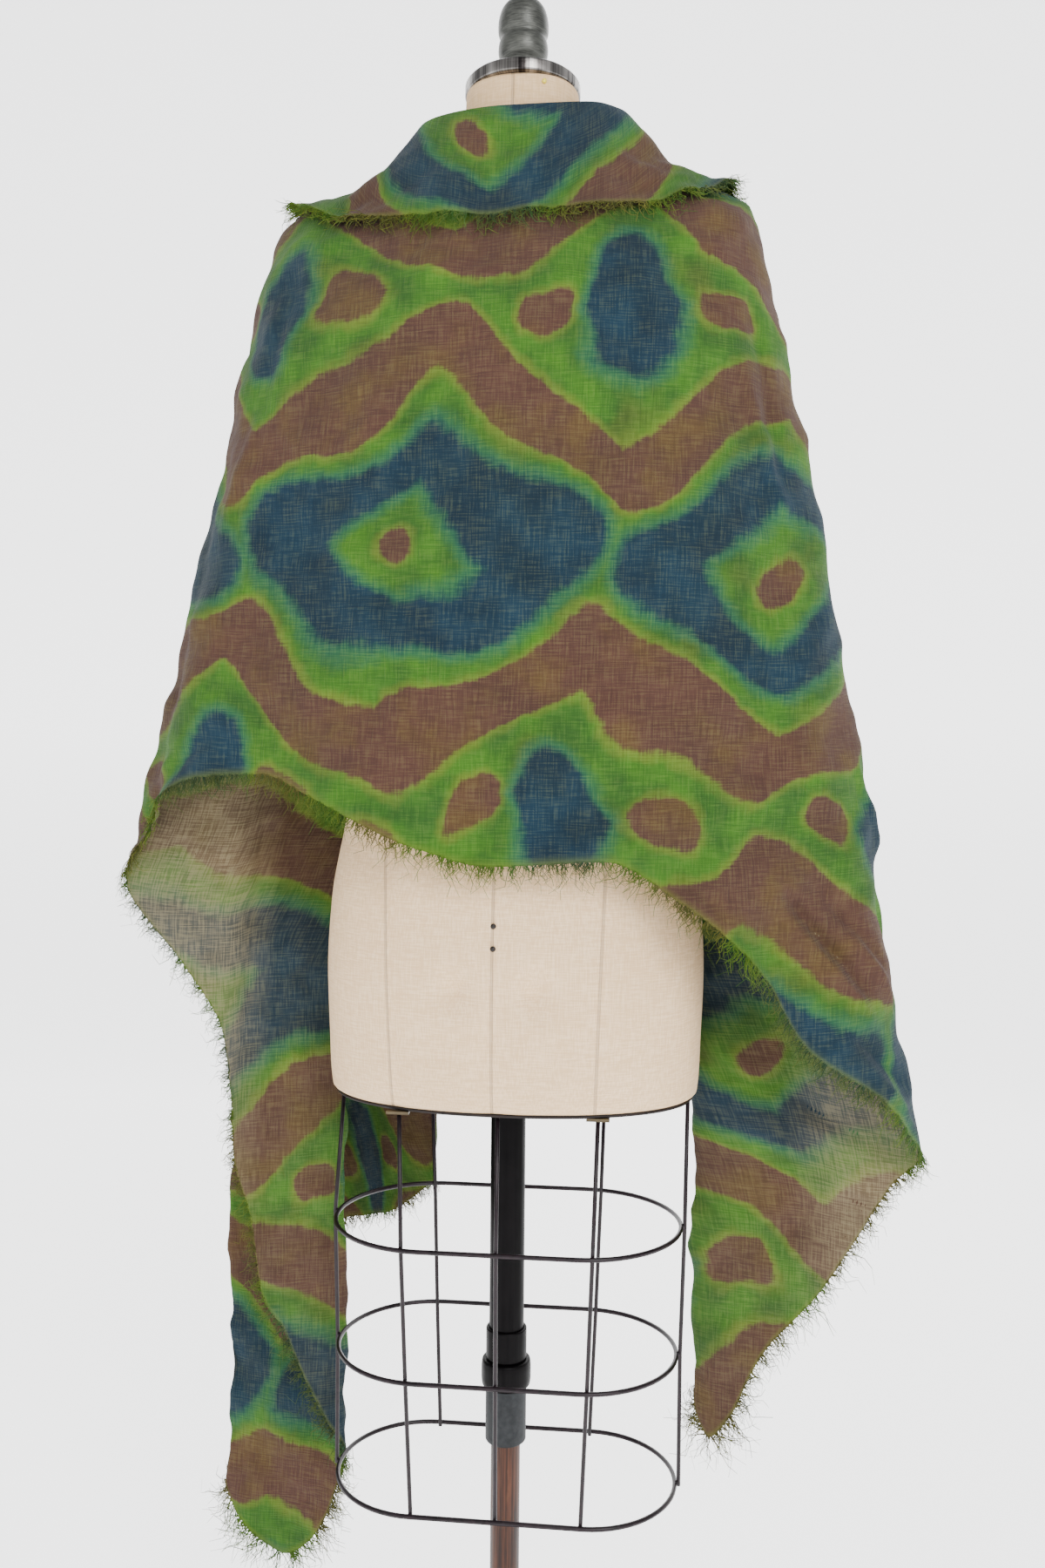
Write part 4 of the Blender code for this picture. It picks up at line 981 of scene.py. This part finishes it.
FINISHES = dict(
    cloth=dyed_linen("dyed_linen", 0.62),
    collar=dyed_linen("dyed_linen_turned", 0.0),
    fringe=fringe_thread(),
    tab=worn_metal("tab_brass", (50, 42, 30), (104, 90, 62), 0.45, 0.5),
    cover=linen_cover(),
    plate=plate_steel(),
    finial=worn_metal("finial_metal", (46, 47, 44), (88, 89, 84), 0.40, 0.55, (120.0, 120.0, 1400.0),
                      bump=0.0002),
    rim=worn_metal("rim_enamel", (20, 16, 16), (40, 32, 30), 0.6, 0.0, gloss=0.2),
    wire=worn_metal("wire_enamel", (12, 6, 10), (34, 22, 28), 0.36, 0.1, (300.0,) * 3, gloss=0.3),
    tube=worn_metal("tube_enamel", (4, 3, 4), (13, 11, 12), 0.38, 0.0, (300.0, 300.0, 6.0), gloss=0.06),
    sleeve=worn_metal("sleeve_enamel", (28, 30, 32), (46, 48, 50), 0.6, 0.0, (200.0,) * 3, gloss=0.2),
    rod=browned_rod(),
    base=worn_metal("base_enamel", (14, 14, 15), (34, 34, 35), 0.55, 0.0, (220.0,) * 3, 0.0004, 0.25),
    pin=worn_metal("pin_heads", (206, 186, 40), (238, 222, 84), 0.3, 0.0),
    nail=worn_metal("nail_heads", (16, 13, 12), (44, 36, 32), 0.4, 0.4),
)


# ---------------------------------------------------------------- the form
TORSO_SIDES, TORSO_ROWS, NECK_ROWS = 220, 150, 20
RIM_SIDES = 180
BACK_CROWD = 0.25                # how far the points round the form are drawn towards its back
ROW_CROWD, ROW_POWER = 0.65, 2.2  # the rows are closer together low on the torso, where it shows
NECK_GAP = 0.00015
EDGE_ROUNDING, EDGE_DRAWN_IN = 0.0032, 0.010
DIMPLES = dict(x=(-0.035, 0.033), z=(0.832, 0.830), reach=(0.017, 0.017), depth=(0.0075, 0.0075))
DIMPLE_PIT, PIT_REACH = 0.7, 0.004
HOLLOW = dict(x=-0.002, z=0.80, half_width=0.011, half_height=0.085, depth=0.0022)
RIM_PROFILE = dict(
    drop=(RIM_THICK + FLAT_GAP, RIM_THICK + FLAT_GAP, 0.0018, 0.0010, FLAT_GAP, FLAT_GAP),
    inset=(0.0030, 0.0008, 0.0, 0.0, 0.0006, 0.0030),
)
RIM_MEAN_RADIUS = 0.13
NAILS = dict(x=(-0.0015, -0.0015), z=(0.888, 0.869))
NAIL_RADIUS, NAIL_FLATNESS = 0.0024, 0.55
DIMPLE_NAIL_SINK = 1.62          # how deep a nail sits in its dimple, as a share of the dimple's depth
PINS = dict(x=(0.029, -0.034, 0.069), z=(1.634, 1.610, 1.621))
PIN_RADIUS = 0.0022


def back_of_body(x, z):
    """The form's own y on its back at a place given by x and z, from the squarish oval's formula."""
    reach = np.clip(np.abs((np.asarray(x, float) - BODY_ASIDE) / read_table(BODY, "half_width", z)), 0, 1)
    depth = (1 - reach ** BODY_SQUARENESS) ** (1 / BODY_SQUARENESS) * read_table(BODY, "half_depth", z)
    return float(read_table(BODY, "forward", z) - depth)


def oval_section(height, sides, crowd=0.0):
    """Rings of the form: a squarish oval at each height, with its points crowded towards the back."""
    turn = full_circle(sides)
    angle = turn + crowd * np.cos(turn)
    half_width, half_depth, forward = (read_table(BODY, column, height)[:, None]
                                       for column in ("half_width", "half_depth", "forward"))
    x, y = (np.sign(wave) * np.abs(wave) ** (2.0 / BODY_SQUARENESS)
            for wave in (np.cos(angle), np.sin(angle)))
    return np.stack([half_width * x + BODY_ASIDE, half_depth * y + forward,
                     np.repeat(height[:, None], sides, 1)], -1)


def add_beads(name, centres, radius, finish, flat=1.0, sides=14, rows=8):
    """Round beads as one piece: circles of latitude between two poles, at each centre."""
    lat = np.linspace(-0.5 * math.pi, 0.5 * math.pi, rows + 1)[1:-1, None]
    lon = full_circle(sides)
    shell = np.stack([np.cos(lat) * np.cos(lon), flat * np.cos(lat) * np.sin(lon),
                      np.repeat(np.sin(lat), sides, 1)], -1).reshape(-1, 3)
    shell = np.concatenate([shell, [(0, 0, -1.0), (0, 0, 1.0)]]) * radius
    shift = (np.arange(len(centres)) * len(shell))[:, None, None]
    faces = [(block + shift).reshape(-1, block.shape[1]) for block in skin(rows - 1, sides)]
    add_piece(name, np.array(centres)[:, None] + shell, faces, finish)


def build_form():
    """The torso and neck covers, the rim, the nails in the back, the pins in the neck."""
    spread = np.linspace(0.0, 1.0, TORSO_ROWS)
    spread = (1 - ROW_CROWD) * spread + ROW_CROWD * spread ** ROW_POWER
    height = BODY_BOTTOM + (NECK_SPLIT - NECK_GAP - BODY_BOTTOM) * spread
    rings = oval_section(height, TORSO_SIDES, BACK_CROWD)
    edge = np.clip((height - BODY_BOTTOM) / EDGE_ROUNDING, 0, 1)
    rings[..., :2] *= 1 - (EDGE_DRAWN_IN * (1 - edge) ** 2)[:, None, None]
    x, y, z = np.moveaxis(rings, -1, 0)
    for at_x, at_z, reach, depth in zip(*DIMPLES.values()):
        off = np.hypot(x - at_x, (z - at_z) * 0.9)
        pit = 1 + DIMPLE_PIT * np.exp(-(off / PIT_REACH) ** 2)
        y += (y < 0) * depth * np.exp(-(off / reach) ** 2) * pit
    y += (y < 0) * HOLLOW["depth"] * (np.exp(-((x - HOLLOW["x"]) / HOLLOW["half_width"]) ** 2)
                                      * np.exp(-((z - HOLLOW["z"]) / HOLLOW["half_height"]) ** 2))
    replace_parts(skinned("torso_cover", rings, FINISHES["cover"]), "form_body")
    neck = oval_section(np.linspace(NECK_SPLIT + NECK_GAP, NECK_TOP, NECK_ROWS), TORSO_SIDES, BACK_CROWD)
    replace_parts(skinned("neck_cover", neck, FINISHES["cover"]), "form_neck")
    outline = oval_section(np.array([BODY_BOTTOM]), RIM_SIDES)[0]
    drop, inset = (np.array(column)[:, None] for column in RIM_PROFILE.values())
    x, y = outline[:, 0] - BODY_ASIDE, outline[:, 1]
    inward = 1 - inset / RIM_MEAN_RADIUS
    rim = np.stack([BODY_ASIDE + x * inward, y * inward, np.repeat(BODY_BOTTOM - drop, RIM_SIDES, 1)], -1)
    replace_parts(skinned("torso_rim", rim, FINISHES["rim"]), "form_rim")
    nails = [(x, back_of_body(x, z), z) for x, z in zip(*NAILS.values())]
    nails += [(x, back_of_body(x, z) + DIMPLE_NAIL_SINK * depth, z)
              for x, z, _, depth in zip(*DIMPLES.values())]
    add_beads("back_nails", nails, NAIL_RADIUS, FINISHES["nail"], NAIL_FLATNESS)
    pins = [(x, back_of_body(x, z) - 0.5 * PIN_RADIUS, z) for x, z in zip(*PINS.values())]
    add_beads("neck_pins", pins, PIN_RADIUS, FINISHES["pin"])


def node_size(name):
    """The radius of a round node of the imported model, and its lowest and highest z."""
    low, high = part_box(name)
    return 0.5 * (high.x - low.x), low.z, high.z


FINIAL = millimetres(
    radius=(19.6, 20.2, 19.6, 17, 16.6, 17.6, 21.4, 23.1, 23, 22.2, 21.3, 21.6, 22.9, 23.5, 22.6, 20,
            15, 8, 2),
    height=(0, 2.2, 5.2, 8.2, 13, 18.5, 24, 30, 35, 39.5, 42, 44, 47, 53, 62, 69.5, 75.5, 78.8, 79.5),
)
FINIAL_ROWS = 90
PLATE_HOLE = 0.0235


def build_plate_and_finial():
    """The polished neck plate and the egg-topped knob on it, both turned."""
    radius, low, high = node_size("neck_band")
    profile = rounded_profile([(radius - 0.0016, low), (radius, low + 0.0012), (radius, high - 0.0022),
                               (radius - 0.0024, high), (PLATE_HOLE, high)], 0.0009)
    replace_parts(turned("neck_plate", profile, FINISHES["plate"], aside=BODY_ASIDE), "neck_band")
    _, low, _ = node_size("finial")
    radius, height = smooth_profile(FINIAL["radius"], FINIAL["height"], FINIAL_ROWS)
    knob = turned("finial_knob", (radius, height + low), FINISHES["finial"], aside=BODY_ASIDE)
    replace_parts(knob, "finial")


# ---------------------------------------------------------------- the cage
WIRE_SIDES = 12
BEND_STEPS = 30
WIRE_BITE = 0.0006               # how far an upright bites into a ring that it is welded to
WELD_RADIUS = 0.0026


def add_wire(name, node, path, radius, ring=False):
    """A round section carried along a path, square to it: closed as a ring, or fanned at its ends."""
    path = np.asarray(path, float)
    ahead = np.roll(path, -1, 0) - np.roll(path, 1, 0)
    if not ring:
        ahead[0], ahead[-1] = path[1] - path[0], path[-1] - path[-2]
    ahead = unit(ahead)
    side = unit(np.cross(ahead, np.where(np.abs(ahead[:, 2:3]) > 0.9, (0.0, 1.0, 0.0), (0.0, 0.0, 1.0))))
    angle = full_circle(WIRE_SIDES)[:, None]
    section = np.cos(angle) * side[:, None] + np.sin(angle) * np.cross(ahead, side)[:, None]
    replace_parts(skinned(name, path[:, None] + radius * section, FINISHES["wire"], tube=ring), node)


def stadium(half_width, half_depth, height):
    """An oval of two straight runs and two half circles, anticlockwise seen from above."""
    turn = np.linspace(-0.5 * math.pi, 0.5 * math.pi, BEND_STEPS + 1)
    right = np.stack([half_width - half_depth + half_depth * np.cos(turn), half_depth * np.sin(turn)], -1)
    points = np.concatenate([right, -right])
    return np.column_stack([points, np.full(len(points), height)])


def inside_ring(across, half_width, half_depth, inset):
    """How deep an upright stands that touches a ring from inside, so far across."""
    past_straight = max(across - (half_width - half_depth), 0.0)
    return math.sqrt((half_depth - inset) ** 2 - past_straight ** 2)


def build_cage():
    """Three wire rings and eight uprights, with a bead of weld where each pair crosses."""
    heights, half_widths, half_depths, across = RINGS.values()
    for number, ring in enumerate(zip(half_widths, half_depths, heights), 1):
        add_wire(f"wire_ring_{number}", f"cage_ring_{number}", stadium(*ring), WIRE_RADIUS, ring=True)
    top = BODY_BOTTOM - RIM_THICK - 2 * FLAT_GAP
    inset = WIRE_RADIUS + UPRIGHT_RADIUS - WIRE_BITE
    levels = list(zip((UPRIGHT_TOP,) + across, half_widths[:1] + half_widths,
                      (UPRIGHT_TOP_DEPTH,) + half_depths, (top,) + heights))
    uprights = {f"{face}_{name}": [(side_x * u, side_y * inside_ring(abs(side_x) * u, w, d, inset), z)
                                   for u, w, d, z in levels]
                for face, side_y in (("back", -1), ("front", 1))
                for name, side_x in (("left", -1), ("middle", 0), ("right", 1))}
    towards_ring = {name: (0.0, math.copysign(UPRIGHT_RADIUS, path[0][1]))
                    for name, path in uprights.items()}
    for name, side in (("left", -1), ("right", 1)):
        rim = BODY_ASIDE + side * (BODY["half_width"][0] - SIDE_UPRIGHT_IN)
        path = [(side * (w + inset), 0.0, z) for w, z in zip(half_widths, heights)]
        uprights[name] = [(rim, 0.0, top)] + path
        towards_ring[name] = (-side * UPRIGHT_RADIUS, 0.0)
    welds = []
    for name, path in uprights.items():
        aside, along = towards_ring[name]
        welds += [(x + aside, y + along, z) for x, y, z in path[1:]]
        foot = (*path[-1][:2], heights[-1] - WIRE_RADIUS)
        add_wire(f"wire_{name}", f"upright_{name}", path + [foot], UPRIGHT_RADIUS)
    add_beads("wire_welds", welds, WELD_RADIUS, FINISHES["wire"])
    for name in ("cage_tab_left", "cage_tab_right"):
        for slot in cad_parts[name].material_slots:
            slot.material = FINISHES["tab"]


# ---------------------------------------------------------------- the stand
TUBE_BORE, BORE_GAP = 0.0142, 0.0003
SEAM_STEP = 0.0001               # keeps the first and the last ring of a tube apart
ROD_ROWS = 40
CLAMP = dict(
    node=("clamp_sleeve", "clamp_flange", "clamp_collar"),
    name=("grey_sleeve", "round_flange", "black_collar"),
    finish=("sleeve", "tube", "tube"),
    shoulder=(0.0012, 0.0060, 0.0010),
    rounding=(0.0006, 0.0022, 0.0006),
)


def build_stand():
    """The tube, the height clamp on it, the rod in it, and the round base with its hub, all turned."""
    outer, low, high = node_size("pole_tube")
    profile = rounded_profile([(TUBE_BORE, low), (outer - 0.0004, low), (outer, low + 0.0006),
                               (outer, high - 0.0004), (outer - 0.0006, high), (TUBE_BORE, high),
                               (TUBE_BORE, low + SEAM_STEP)], 0.0004)
    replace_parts(turned("tube_pole", profile, FINISHES["tube"], tube=True), "pole_tube")
    bore = outer + BORE_GAP
    for node, name, finish, shoulder, rounding in zip(*CLAMP.values()):
        radius, low, high = node_size(node)
        profile = rounded_profile([(bore, low), (radius - 0.0008, low), (radius, low + shoulder),
                                   (radius, high - shoulder), (radius - 0.0008, high), (bore, high),
                                   (bore, low + SEAM_STEP)], rounding, 6)
        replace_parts(turned(name, profile, FINISHES[finish], tube=True), node)
    radius, low, high = node_size("pole_rod")
    height = np.array([low, low + 0.0008, *np.linspace(low + 0.001, high - 0.001, ROD_ROWS), high])
    rod = np.full(len(height), radius)
    rod[0], rod[-1] = radius - 0.0008, radius - 0.0010
    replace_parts(turned("brown_rod", (rod, height), FINISHES["rod"], body="stand"), "pole_rod")
    radius, low, high = node_size("base_plate")
    profile = rounded_profile([(radius - 0.0012, low), (radius, low + 0.0012), (radius, high - 0.006),
                               (radius - 0.004, high - 0.003), (0.060, high - 0.0002), (0.040, high)],
                              0.003, 6)
    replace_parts(turned("round_base", profile, FINISHES["base"], sides=160, body="stand"), "base_plate")
    _, low, high = node_size("base_hub")
    profile = rounded_profile([(0.0335, low), (0.0340, 0.0185), (0.0315, 0.0215), (0.0240, 0.0300),
                               (0.0216, 0.0385), (0.0215, high - 0.001), (0.0205, high)], 0.004, 6)
    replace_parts(turned("base_socket", profile, FINISHES["base"], body="stand"), "base_hub")


# ---------------------------------------------------------------- floor and light
STAGE_FRONT, STAGE_BACK, STAGE_BEND = -9.0, 2.6, 1.2
STAGE_HIGH, STAGE_HALF = 8.0, 9.0
STAGE_GLOW = 1.9
WHITE, STAGE_PALE, STAGE_GREY = ((level, level, level, 1.0) for level in (1.0, 0.88, 0.86))
LIGHTS = dict(
    name=("key", "fill", "rim", "low"),
    x=(1.2, -1.9, 0.4, -0.2),
    y=(-2.6, -1.9, 2.0, -3.0),
    z=(2.5, 1.8, 2.4, 0.9),
    wide=(1.6, 1.8, 1.8, 1.6),
    power=(100.0, 14.0, 16.0, 3.0),
)
AIM = (0.0, 0.0, 1.1)
SKY, SKY_STRENGTH = (0.95, 0.97, 1.0, 1.0), 0.60


def build_stage():
    """A pale floor that turns up into a backdrop, far behind the form."""
    finish = Finish("pale_stage", Roughness=0.9, Emission_Color=WHITE, Emission_Strength=STAGE_GLOW)
    shade = finish.noise(finish.place(), 1.3).share(1.0, 0.0, 1.0)
    finish.paint("Base Color", finish.mix(shade, STAGE_GREY, STAGE_PALE))
    turn = np.linspace(0.0, 0.5 * math.pi, 24)
    y = np.array([STAGE_FRONT, 0.0, *(STAGE_BACK + STAGE_BEND * np.sin(turn)), STAGE_BACK + STAGE_BEND])
    z = np.array([0.0, 0.0, *(STAGE_BEND * (1 - np.cos(turn))), STAGE_HIGH])
    x = np.repeat([[-STAGE_HALF], [STAGE_HALF]], len(y), 1)
    points = np.stack([x, np.tile(y, (2, 1)), np.tile(z, (2, 1))], -1)
    add_mesh("stage", points, [grid_faces(2, len(y))], finish.material)


def build_lights():
    """Large soft lamps round the form, each facing its middle, and an even pale sky."""
    for name, x, y, z, wide, power in zip(*LIGHTS.values()):
        data = bpy.data.lights.new(name, "AREA")
        data.shape = "DISK"
        data.size, data.energy = wide, power
        backward = unit(np.array([x, y, z]) - AIM)
        side = unit(np.cross((0, 0, 1), backward))
        lamp = show(bpy.data.objects.new(name, data))
        lamp.matrix_world = standing((side, np.cross(backward, side), backward), (x, y, z))
    world = bpy.data.worlds.new("pale_sky")
    world.use_nodes = True
    sky = world.node_tree.nodes["Background"]
    sky.inputs["Color"].default_value = SKY
    sky.inputs["Strength"].default_value = SKY_STRENGTH
    bpy.context.scene.world = world


made = build_cloth()
build_form()
build_plate_and_finial()
build_cage()
build_stand()
build_stage()
build_lights()
